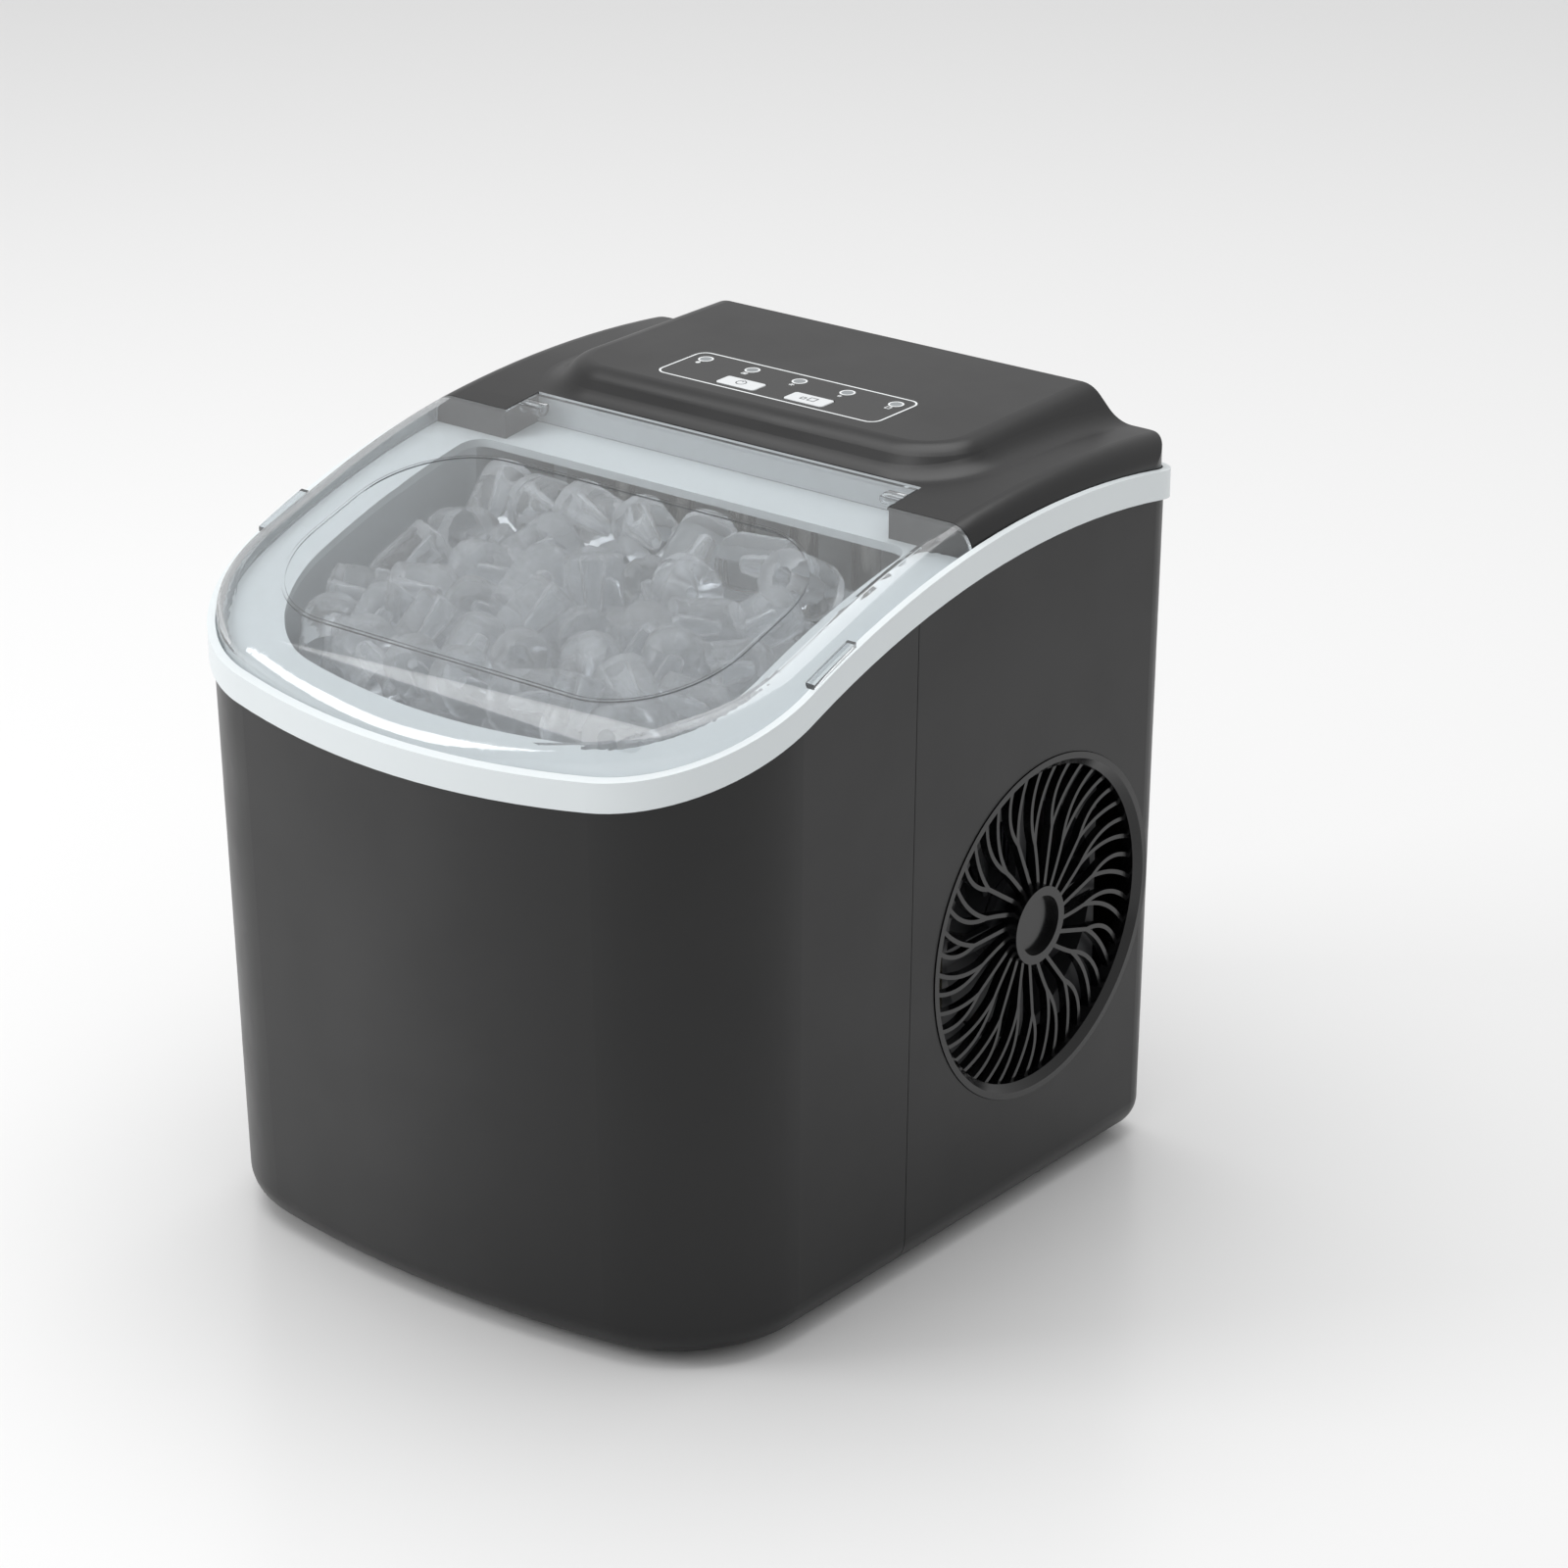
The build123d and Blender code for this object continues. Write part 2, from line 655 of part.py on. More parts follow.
with BuildPart() as lid:
    add(lid_skin.part)
    add(lid_core.part, mode=Mode.SUBTRACT)
    add(window_bead.part)
    extrude(
        cover_profile_face(0, LID_REAR_Y, TONGUE_REAR_Y, LID_WALL),
        amount=TONGUE_HALF_WIDTH,
        both=True,
    )
    for side in (-1, 1):
        lug_from, lug_to = sorted((side * (TONGUE_HALF_WIDTH - 9), side * TONGUE_HALF_WIDTH))
        add_cylinder_x(lug_from, lug_to, HINGE_Y, HINGE_Z, 3.0)
        add_cylinder_x(lug_from, lug_to, HINGE_Y, HINGE_Z, HINGE_PIN_RADIUS, Mode.SUBTRACT)
    add(finger_tabs.part)
save(lid, "lid")

with BuildPart() as lid_hinge_pins:
    for side in (-1, 1):
        pin_from, pin_to = sorted((side * (TONGUE_HALF_WIDTH - 7), side * 93))
        add_cylinder_x(pin_from, pin_to, HINGE_Y, HINGE_Z, HINGE_PIN_RADIUS)
save(lid_hinge_pins, "lid_hinge_pins")

# ---------------------------------------------------------------------------- top cover
COVER_OUTLINE = BAND_OUTLINE.inset(LID_INSET)
PANEL_Z = PLATEAU_TOP_Z - (COVER_OUTLINE.rear - PANEL_Y) * tan(radians(PLATEAU_TILT))
PANEL_PLANE = Plane(
    origin=(0, PANEL_Y, PANEL_Z),
    x_dir=(1, 0, 0),
    z_dir=(0, -sin(radians(PLATEAU_TILT)), cos(radians(PLATEAU_TILT))),
)


def plateau(inset):
    """The raised control pad: drafted sides, round front corners, tilted top."""
    half_width = PLATEAU_FOOT_HALF_WIDTH - inset
    front_y = PLATEAU_FOOT_FRONT_Y + inset
    with BuildPart() as pad:
        with BuildSketch(Plane.XY.offset(PLATEAU_FOOT_Z)) as foot:
            with Locations((0, (front_y + 2 * COVER_BUILD_Y) / 2)):
                Rectangle(2 * half_width, 2 * COVER_BUILD_Y - front_y)
            fillet(foot.vertices().group_by(Axis.Y)[0], radius=40 - inset)
        extrude(amount=PLATEAU_TOP_Z - PLATEAU_FOOT_Z + 4, taper=PLATEAU_DRAFT)
        split(bisect_by=PANEL_PLANE.offset(-inset), keep=Keep.BOTTOM)
        add_box((-200, COVER_BUILD_Y, 200), (200, 400, 400), Mode.SUBTRACT)
    return pad.part


def cover_body(inset):
    """The domed cover with its raised control pad, every skin moved in by inset."""

    def on_pad_top(edge):
        return abs(PANEL_PLANE.offset(-inset).to_local_coords(edge.center()).Z) < 0.3

    def on_pad_foot(edge):
        spot = edge.center()
        on_crown = abs(spot.Z - cover_top(spot.Y) + inset) < 0.6
        return on_crown and abs(spot.X) < 104 and spot.Y > COVER_FRONT_Y + inset + 1

    with BuildPart() as body:
        extrude(
            cover_profile_face(inset, COVER_FRONT_Y + inset, COVER_BUILD_Y),
            amount=COVER_OUTLINE.half_width - inset,
            both=True,
        )
        fillet(
            shoulder_edges(body, lambda y: COVER_LOW_Z + 20),
            radius=SHOULDER_ROUND - inset,
        )
        add(plateau(inset))
        inside = [edge for edge in body.edges() if edge.center().Y < COVER_BUILD_Y - 1]
        fillet([edge for edge in inside if on_pad_top(edge)], radius=PLATEAU_EDGE_ROUND - inset)
        inside = [edge for edge in body.edges() if edge.center().Y < COVER_BUILD_Y - 1]
        fillet([edge for edge in inside if on_pad_foot(edge)], radius=PLATEAU_FOOT_ROUND + inset)
        extrude(
            outline_face(COVER_OUTLINE.inset(inset), 150),
            amount=150,
            mode=Mode.INTERSECT,
        )
    return body.part


with BuildPart() as cover_core:
    add(cover_body(COVER_WALL))
    add_box(
        (-NOTCH_HALF_WIDTH - COVER_WALL, 0, 200),
        (NOTCH_HALF_WIDTH + COVER_WALL, NOTCH_REAR_Y + COVER_WALL, 300),
        Mode.SUBTRACT,
    )

with BuildPart() as top_cover:
    add(cover_body(0))
    add(cover_core.part, mode=Mode.SUBTRACT)
    for side in (-1, 1):
        boss_from, boss_to = sorted((side * (NOTCH_HALF_WIDTH + 1), side * 95))
        add_cylinder_x(boss_from, boss_to, HINGE_Y, HINGE_Z, 3.4)
    for screw_x, screw_y in COVER_SCREWS:
        add_cylinder_z(screw_x, screw_y, COVER_LOW_Z, COVER_BOSS_TOP_Z, 4.0)
        add_cylinder_z(screw_x, screw_y, COVER_LOW_Z, 266, 1.5, Mode.SUBTRACT)
    extrude(
        crest_to_level_face(LEDGE_TOP, 100),
        amount=BAND_OUTLINE.half_width,
        both=True,
        mode=Mode.SUBTRACT,
    )
    add_box(
        (-NOTCH_HALF_WIDTH, 0, 200),
        (NOTCH_HALF_WIDTH, NOTCH_REAR_Y, 300),
        Mode.SUBTRACT,
    )
    add_cylinder_x(-93.5, 93.5, HINGE_Y, HINGE_Z, HINGE_PIN_RADIUS + RUNNING_CLEARANCE, Mode.SUBTRACT)
    with BuildSketch(PANEL_PLANE.offset(-OVERLAY_THICKNESS)) as overlay_pocket:
        RectangleRounded(PANEL_WIDTH + 0.2, PANEL_DEPTH + 0.2, PANEL_CORNER)
    extrude(amount=2, mode=Mode.SUBTRACT)
    with BuildSketch(PANEL_PLANE.offset(-10)) as key_holes:
        with Locations(*[(x, KEY_Y - PANEL_Y) for x in KEY_XS]):
            RectangleRounded(KEY_WIDTH + 0.6, KEY_DEPTH + 0.6, 1.5)
        with Locations(*[(x, LAMP_Y - PANEL_Y) for x in LAMP_XS]):
            Circle(LAMP_RADIUS)
    extrude(amount=20, mode=Mode.SUBTRACT)
save(top_cover, "top_cover")

# ------------------------------------------------------------------------ control panel
with BuildPart() as panel_overlay:
    with BuildSketch(PANEL_PLANE.offset(-OVERLAY_THICKNESS)) as overlay_film:
        RectangleRounded(PANEL_WIDTH, PANEL_DEPTH, PANEL_CORNER)
        with Locations(*[(x, KEY_Y - PANEL_Y) for x in KEY_XS]):
            RectangleRounded(KEY_WIDTH + 0.6, KEY_DEPTH + 0.6, 1.5, mode=Mode.SUBTRACT)
        with Locations(*[(x, LAMP_Y - PANEL_Y) for x in LAMP_XS]):
            Circle(LAMP_RADIUS, mode=Mode.SUBTRACT)
    extrude(amount=OVERLAY_THICKNESS)
save(panel_overlay, "panel_overlay")

with BuildPart() as indicator_light_pipes:
    with BuildSketch(PANEL_PLANE.offset(-LIGHT_PIPE_LENGTH)) as light_pipes:
        with Locations(*[(x, LAMP_Y - PANEL_Y) for x in LAMP_XS]):
            Circle(LAMP_RADIUS)
    extrude(amount=LIGHT_PIPE_LENGTH)
save(indicator_light_pipes, "indicator_light_pipes")


def key_part(key_x):
    """One control key: a rounded cap on a narrower stem with a retaining flange."""
    spot = (key_x, KEY_Y - PANEL_Y)
    with BuildPart() as key:
        with BuildSketch(PANEL_PLANE.offset(-2.9)) as cap:
            with Locations(spot):
                RectangleRounded(KEY_WIDTH, KEY_DEPTH, 1.2)
        extrude(cap.sketch, amount=3.2)
        fillet(key.faces().sort_by(Axis.Z)[-1].edges(), radius=0.4)
        with BuildSketch(PANEL_PLANE.offset(-4.1)) as flange:
            with Locations(spot):
                Rectangle(KEY_WIDTH + 3, KEY_DEPTH + 3)
        extrude(flange.sketch, amount=1.2)
        with BuildSketch(PANEL_PLANE.offset(-KEY_STEM_LENGTH)) as stem:
            with Locations(spot):
                Circle(2.0)
        extrude(stem.sketch, amount=KEY_STEM_LENGTH - 4)
    return key.part


with BuildPart() as power_key:
    add(key_part(KEY_XS[0]))
save(power_key, "power_key")

with BuildPart() as size_key:
    add(key_part(KEY_XS[1]))
save(size_key, "size_key")

BOARD_PLANE = PANEL_PLANE.offset(-LIGHT_PIPE_LENGTH - 1.2)

with BuildPart() as control_board:
    with BuildSketch(BOARD_PLANE.offset(-1.6)):
        RectangleRounded(PANEL_WIDTH, PANEL_DEPTH + 4, 2)
    extrude(amount=1.6)
save(control_board, "control_board")

with BuildPart() as board_switches_and_lamps:
    with BuildSketch(BOARD_PLANE):
        with Locations(*[(x, KEY_Y - PANEL_Y) for x in KEY_XS]):
            Rectangle(6, 6)
        with Locations(*[(x, LAMP_Y - PANEL_Y) for x in LAMP_XS]):
            Rectangle(3.2, 2.8)
    extrude(amount=1.2)
save(board_switches_and_lamps, "board_switches_and_lamps")

with BuildPart() as cover_screws:
    for screw_x, screw_y in COVER_SCREWS:
        ledge_z = crest(screw_y) + LEDGE_BOTTOM
        add_cylinder_z(screw_x, screw_y, ledge_z - 3.2, ledge_z - 1.0, 3.2)
        add_cylinder_z(screw_x, screw_y, ledge_z - 1.0, 265.5, 1.45)
save(cover_screws, "cover_screws")

# -------------------------------------------------------------------- inner tub and foam
with BuildPart() as tub_core:
    extrude(outline_face(TUB_OUTLINE, TUB_FLOOR_Z + TUB_WALL), amount=220)
    add_box(
        (-CHAMBER_HALF_WIDTH, 0, SHELF_Z + TUB_WALL),
        (CHAMBER_HALF_WIDTH, CHAMBER_REAR_Y, 300),
    )

with BuildPart() as inner_tub:
    extrude(outline_face(TUB_OUTLINE.inset(-TUB_WALL), TUB_FLOOR_Z), amount=220)
    add_box(
        (-CHAMBER_HALF_WIDTH - TUB_WALL, 0, SHELF_Z),
        (CHAMBER_HALF_WIDTH + TUB_WALL, CHAMBER_REAR_Y + TUB_WALL, 300),
    )
    add(tub_core.part, mode=Mode.SUBTRACT)
    for post_x, post_y in BASKET_POSTS:
        add_cylinder_z(post_x, post_y, TUB_FLOOR_Z + 1, BASKET_FLOOR_Z - 0.3, 5)
    extrude(
        crest_to_level_face(LEDGE_BOTTOM, 320),
        amount=BAND_OUTLINE.half_width,
        both=True,
        mode=Mode.SUBTRACT,
    )
    add_box((-84, CHAMBER_REAR_Y - 1, 250), (-52, CHAMBER_REAR_Y + 4, 290), Mode.SUBTRACT)
    add_cylinder_z(DRAIN_X, DRAIN_TOP_Y, TUB_FLOOR_Z - 1, TUB_FLOOR_Z + 4, DRAIN_BORE, Mode.SUBTRACT)
save(inner_tub, "inner_tub")

with BuildPart() as foam_insulation:
    extrude(outline_face(TUB_OUTLINE.inset(-FOAM_THICKNESS - TUB_WALL), FOAM_BOTTOM_Z), amount=134)
    extrude(
        outline_face(TUB_OUTLINE.inset(-TUB_WALL - 0.05), TUB_FLOOR_Z - 0.05),
        amount=200,
        mode=Mode.SUBTRACT,
    )
    add_box((-130, 0, SHELF_Z - 0.05), (130, 60, 260), Mode.SUBTRACT)
    add_cylinder_z(DRAIN_X, DRAIN_TOP_Y, FOAM_BOTTOM_Z - 1, TUB_FLOOR_Z + 1, 6.1, Mode.SUBTRACT)
    add_box((58, FOAM_NOTCH_Y, 60), (130, 40, 175), Mode.SUBTRACT)
save(foam_insulation, "foam_insulation")

# ---------------------------------------------------------------------------- ice basket
BASKET_OUTLINE = Outline(BASKET_HALF_WIDTH, BASKET_FRONT_Y, BASKET_REAR_Y, 330.0, 34.0, 14.0)

with BuildPart() as ice_basket:
    extrude(outline_face(BASKET_OUTLINE, BASKET_FLOOR_Z), amount=BASKET_RIM_Z - BASKET_FLOOR_Z)
    extrude(
        outline_face(BASKET_OUTLINE.inset(BASKET_WALL), BASKET_FLOOR_Z + BASKET_WALL),
        amount=BASKET_RIM_Z,
        mode=Mode.SUBTRACT,
    )
    with BuildSketch(Plane.XY.offset(BASKET_FLOOR_Z - 1)):
        with Locations((0, (BASKET_FRONT_Y + BASKET_REAR_Y) / 2)):
            with GridLocations(14, 22, 9, 3):
                SlotOverall(16, 4, rotation=90)
    extrude(amount=BASKET_WALL + 2, mode=Mode.SUBTRACT)
    with BuildSketch(Plane.YZ):
        with Locations((-50, 150)):
            with GridLocations(12, 26, 5, 2):
                SlotOverall(18, 4, rotation=90)
    extrude(amount=BASKET_HALF_WIDTH + 2, both=True, mode=Mode.SUBTRACT)
    extrude(outline_face(BASKET_OUTLINE.inset(-2.5), BASKET_RIM_Z - 2.2), amount=2.2)
    extrude(
        outline_face(BASKET_OUTLINE.inset(BASKET_WALL), BASKET_RIM_Z - 3),
        amount=4,
        mode=Mode.SUBTRACT,
    )
    with BuildSketch(Plane.YZ):
        with Locations((-52, BASKET_RIM_Z - 16)):
            SlotOverall(46, 14)
    extrude(amount=BASKET_HALF_WIDTH + 2, both=True, mode=Mode.SUBTRACT)
save(ice_basket, "ice_basket")

with BuildPart() as ice_level_sensors:
    for side in (-1, 1):
        pod_from, pod_to = sorted((side * 91.5, side * (TUB_HALF_WIDTH)))
        add_box((pod_from, -26, 212), (pod_to, -10, 222))
        add_cylinder_x(*sorted((side * 90.5, side * 91.5)), -18, 217, 3)
save(ice_level_sensors, "ice_level_sensors")

# ------------------------------------------------------- evaporator, water tray, pushers
FINGER_SPOTS = [(x * FINGER_PITCH, -7.0) for x in (-2, -1, 0, 1, 2)]
FINGER_SPOTS += [((x + 0.5) * FINGER_PITCH, 7.0) for x in (-2, -1, 0, 1)]

with BuildPart() as chamber_posts:
    for side in (-1, 1):
        post_from, post_to = sorted((side * POST_INNER_X, side * POST_OUTER_X))
        add_box(
            (post_from, TRAY_Y - 14, SHELF_Z + TUB_WALL),
            (post_to, TRAY_Y + 14, EVAPORATOR_Z),
        )
    add_cylinder_x(
        -POST_OUTER_X - 1,
        POST_OUTER_X + 1,
        TRAY_Y,
        TRAY_Z,
        TRAY_PIN_RADIUS + RUNNING_CLEARANCE,
        Mode.SUBTRACT,
    )
save(chamber_posts, "chamber_posts")

with BuildPart() as evaporator_plate:
    add_box(
        (-POST_OUTER_X, TRAY_Y - 16, EVAPORATOR_Z),
        (POST_OUTER_X, TRAY_Y + 16, EVAPORATOR_Z + 4),
    )
save(evaporator_plate, "evaporator_plate")

with BuildPart() as freezing_fingers:
    for finger_x, finger_y in FINGER_SPOTS:
        add_cylinder_z(finger_x, TRAY_Y + finger_y, FINGER_TIP_Z, EVAPORATOR_Z, FINGER_RADIUS)
    fillet(freezing_fingers.faces().group_by(Axis.Z)[0].edges(), radius=3.6)
save(freezing_fingers, "freezing_fingers")

with BuildPart() as evaporator_tube:
    add_tube(
        [
            (CAPILLARY_X, TUBE_END_Y, TUBE_Z),
            (-60, TRAY_Y + 7, TUBE_Z),
            (66, TRAY_Y + 7, TUBE_Z),
            (66, TRAY_Y - 7, TUBE_Z),
            (-76, TRAY_Y - 7, TUBE_Z),
            (RETURN_X, TUBE_END_Y, TUBE_Z),
        ],
        6.5,
        3.5,
        2.7,
    )
save(evaporator_tube, "evaporator_tube")

with BuildPart() as water_tray:
    with BuildSketch(Plane(origin=(-TRAY_HALF_LENGTH, TRAY_Y, TRAY_Z), x_dir=(0, 1, 0), z_dir=(1, 0, 0))):
        Circle(TRAY_RADIUS)
        with Locations((0, TRAY_RADIUS / 2 + 0.5)):
            Rectangle(2 * TRAY_RADIUS + 1, TRAY_RADIUS + 1, mode=Mode.SUBTRACT)
    extrude(amount=2 * TRAY_HALF_LENGTH)
    with BuildSketch(
        Plane(origin=(-TRAY_HALF_LENGTH + 2, TRAY_Y, TRAY_Z), x_dir=(0, 1, 0), z_dir=(1, 0, 0))
    ):
        Circle(TRAY_RADIUS - TRAY_WALL)
    extrude(amount=2 * TRAY_HALF_LENGTH - 4, mode=Mode.SUBTRACT)
    for side in (-1, 1):
        ear_from, ear_to = sorted((side * (TRAY_HALF_LENGTH - 2), side * TRAY_HALF_LENGTH))
        add_cylinder_x(ear_from, ear_to, TRAY_Y, TRAY_Z, 6)
save(water_tray, "water_tray")

with BuildPart() as tray_pivot_pins:
    add_cylinder_x(-POST_OUTER_X, -TRAY_HALF_LENGTH, TRAY_Y, TRAY_Z, TRAY_PIN_RADIUS)
    add_cylinder_x(TRAY_HALF_LENGTH, POST_OUTER_X + 5, TRAY_Y, TRAY_Z, TRAY_PIN_RADIUS)
save(tray_pivot_pins, "tray_pivot_pins")

with BuildPart() as tray_gear_motor:
    add_box((POST_OUTER_X, TRAY_Y - 13, TRAY_Z - 15), (POST_OUTER_X + 11, TRAY_Y + 13, TRAY_Z + 15))
    fillet(tray_gear_motor.edges().filter_by(Axis.X), radius=5)
    add_cylinder_x(
        POST_OUTER_X - 1,
        POST_OUTER_X + 5.5,
        TRAY_Y,
        TRAY_Z,
        TRAY_PIN_RADIUS + RUNNING_CLEARANCE,
        Mode.SUBTRACT,
    )
save(tray_gear_motor, "tray_gear_motor")

with BuildPart() as tray_end_switch:
    add_box((-POST_OUTER_X - 8, TRAY_Y - 9, TRAY_Z - 20), (-POST_OUTER_X, TRAY_Y + 9, TRAY_Z - 10))
save(tray_end_switch, "tray_end_switch")

# -------------------------------------------------------------------------- water system
with BuildPart() as water_pump:
    add_cylinder_z(0, PUMP_Y, TUB_FLOOR_Z + TUB_WALL, 97, 17)
    fillet(water_pump.faces().sort_by(Axis.Z)[-1].edges(), radius=3)
    add_cylinder_z(0, PUMP_Y, 96, 103, 3.6)
save(water_pump, "water_pump")

with BuildPart() as water_hose:
    add_tube(
        [(0, PUMP_Y, 103), (0, PUMP_Y, 113), (0, 5, 113), (0, 5, 242), (0, 38, 242), (0, 38, 233)],
        [9, 9, 9, 8],
        3.0,
        2.0,
    )
save(water_hose, "water_hose")

with BuildPart() as float_stem:
    add_cylinder_z(FLOAT_X, PUMP_Y, TUB_FLOOR_Z + TUB_WALL, 114, 2.5)
    add_cylinder_z(FLOAT_X, PUMP_Y, 112, 114, 5)
    add_cylinder_z(FLOAT_X, PUMP_Y, TUB_FLOOR_Z + TUB_WALL, TUB_FLOOR_Z + TUB_WALL + 3, 8)
save(float_stem, "float_stem")

with BuildPart() as level_float:
    add_cylinder_z(FLOAT_X, PUMP_Y, 81, 97, 9)
    fillet(level_float.edges(), radius=2)
    add_cylinder_z(FLOAT_X, PUMP_Y, 80, 98, 2.5 + 2 * RUNNING_CLEARANCE, Mode.SUBTRACT)
save(level_float, "level_float")

with BuildPart() as drain_tube:
    add_tube(
        [
            (DRAIN_X, DRAIN_TOP_Y, TUB_FLOOR_Z),
            (DRAIN_X, DRAIN_TOP_Y, DRAIN_Z),
            (DRAIN_X, REAR_WALL_Y, DRAIN_Z),
        ],
        18,
        6.0,
        DRAIN_BORE,
    )
save(drain_tube, "drain_tube")

with BuildPart() as drain_plug:
    add_cylinder_y(DRAIN_X, REAR_WALL_Y - 14, REAR_WALL_Y + 0.8, DRAIN_Z, DRAIN_BORE - RUNNING_CLEARANCE)
    add_cylinder_y(DRAIN_X, REAR_WALL_Y + 0.8, REAR_WALL_Y + 3.2, DRAIN_Z, 9.0)
    chamfer(drain_plug.faces().sort_by(Axis.Y)[-1].edges(), length=0.8)
save(drain_plug, "drain_plug")

# ------------------------------------------------------------------------- refrigeration
with BuildPart() as compressor:
    add_cylinder_z(
        COMPRESSOR_X, COMPRESSOR_Y, COMPRESSOR_BOTTOM_Z, COMPRESSOR_TOP_Z, COMPRESSOR_RADIUS
    )
    fillet(compressor.edges(), radius=17)
    add_cylinder_z(COMPRESSOR_X, COMPRESSOR_Y, 74, 78, COMPRESSOR_RADIUS + 2)
    for foot_x, foot_y in COMPRESSOR_FEET:
        add_box((foot_x - 9, foot_y - 9, 20), (foot_x + 9, foot_y + 9, 23))
        with BuildSketch(Plane.XY.offset(20)) as foot_arm:
            with BuildLine():
                Line((foot_x, foot_y), (COMPRESSOR_X, COMPRESSOR_Y))
            trace(line_width=14)
        extrude(foot_arm.sketch, amount=3)
        add_cylinder_z(foot_x, foot_y, 19, 24, 4.05, Mode.SUBTRACT)
save(compressor, "compressor")

with BuildPart() as compressor_grommets:
    for foot_x, foot_y in COMPRESSOR_FEET:
        add_cylinder_z(foot_x, foot_y, 7.5, 20, 7)
        add_cylinder_z(foot_x, foot_y, 20, 25, 4)
save(compressor_grommets, "compressor_grommets")

with BuildPart() as compressor_terminal_box:
    add_box(
        (COMPRESSOR_X - 16, COMPRESSOR_Y + 44, 48),
        (COMPRESSOR_X + 16, COMPRESSOR_Y + 58, 73),
    )
    add_cylinder_z(COMPRESSOR_X, COMPRESSOR_Y, 40, 80, COMPRESSOR_RADIUS + 0.05, Mode.SUBTRACT)
save(compressor_terminal_box, "compressor_terminal_box")

with BuildPart() as condenser_coil:
    runs = [(CONDENSER_X, COIL_END_Y, COIL_INLET_Z)]
    for row, run_z in enumerate(CONDENSER_ROWS):
        ends = (CONDENSER_FRONT_Y, CONDENSER_REAR_Y)
        first, last = ends if row % 2 == 0 else ends[::-1]
        start_y = COIL_END_Y if row == 0 else first
        end_y = COIL_END_Y if row == len(CONDENSER_ROWS) - 1 else last
        runs += [(CONDENSER_X, start_y, run_z), (CONDENSER_X, end_y, run_z)]
    runs += [(CONDENSER_X, COIL_END_Y, COIL_OUTLET_Z)]
    add_tube(runs, 11.5, 3.5)
save(condenser_coil, "condenser_coil")

with BuildPart() as condenser_fins:
    for index in range(CONDENSER_FINS):
        fin_y = 42 + index * CONDENSER_FIN_PITCH
        add_box((CONDENSER_X - 11, fin_y, 60), (CONDENSER_X + 11, fin_y + 0.6, 159))
    for run_z in CONDENSER_ROWS:
        add_cylinder_y(CONDENSER_X, 38, 104, run_z, 3.5, Mode.SUBTRACT)
save(condenser_fins, "condenser_fins")

with BuildPart() as fan_frame:
    add_box((FAN_X - 12.5, GRILLE_Y - 46, GRILLE_Z - 46), (FAN_X + 12.5, GRILLE_Y + 46, GRILLE_Z + 46))
    fillet(fan_frame.edges().filter_by(Axis.X), radius=5)
    add_cylinder_x(FAN_X - 14, FAN_X + 14, GRILLE_Y, GRILLE_Z, 43.5, Mode.SUBTRACT)
    add_box((FAN_X + 9.5, GRILLE_Y - 3, GRILLE_Z - 45), (FAN_X + 12.5, GRILLE_Y + 3, GRILLE_Z + 45))
    add_box((FAN_X + 9.5, GRILLE_Y - 45, GRILLE_Z - 3), (FAN_X + 12.5, GRILLE_Y + 45, GRILLE_Z + 3))
    add_cylinder_x(FAN_X + 9.5, FAN_X + 12.5, GRILLE_Y, GRILLE_Z, 18)
save(fan_frame, "fan_frame")

with BuildPart() as fan_motor:
    add_cylinder_x(FAN_X + 1, FAN_X + 9.5, GRILLE_Y, GRILLE_Z, 14)
    add_cylinder_x(FAN_X, FAN_X + 8, GRILLE_Y, GRILLE_Z, 2.0 + RUNNING_CLEARANCE, Mode.SUBTRACT)
save(fan_motor, "fan_motor")

FAN_PLANE = Plane(origin=(FAN_X, GRILLE_Y, GRILLE_Z), x_dir=(0, 1, 0), z_dir=(1, 0, 0))

with BuildPart(FAN_PLANE) as fan_rotor:
    with PolarLocations(27, FAN_BLADES):
        Box(34, 24, 1.6, rotation=(34, 0, 0))
    add_cylinder_x(FAN_X - 10, FAN_X + 8, GRILLE_Y, GRILLE_Z, FAN_RADIUS, Mode.INTERSECT)
    add_cylinder_x(FAN_X - 10, FAN_X + 8.5, GRILLE_Y, GRILLE_Z, 17.5)
    add_cylinder_x(FAN_X - 8, FAN_X + 9, GRILLE_Y, GRILLE_Z, 15.5, Mode.SUBTRACT)
save(fan_rotor, "fan_rotor")

with BuildPart() as fan_shaft:
    add_cylinder_x(FAN_X - 8, FAN_X + 7.5, GRILLE_Y, GRILLE_Z, 2.0)
save(fan_shaft, "fan_shaft")

with BuildPart() as filter_drier:
    add_cylinder_z(DRIER_X, DRIER_Y, DRIER_LOW_Z + 6, DRIER_HIGH_Z - 6, 9)
    fillet(filter_drier.edges(), radius=6)
    add_cylinder_z(DRIER_X, DRIER_Y, DRIER_LOW_Z, DRIER_HIGH_Z, 3)
save(filter_drier, "filter_drier")

with BuildPart() as discharge_tube:
    add_tube(
        [
            (DISCHARGE_X, DISCHARGE_Y, COMPRESSOR_TOP_Z),
            (DISCHARGE_X, DISCHARGE_Y, DISCHARGE_Z),
            (CONDENSER_X, DISCHARGE_Y, DISCHARGE_Z),
            (CONDENSER_X, COIL_END_Y, DISCHARGE_Z),
            (CONDENSER_X, COIL_END_Y, COIL_INLET_Z),
        ],
        [12, 12, 12],
        3.0,
    )
save(discharge_tube, "discharge_tube")

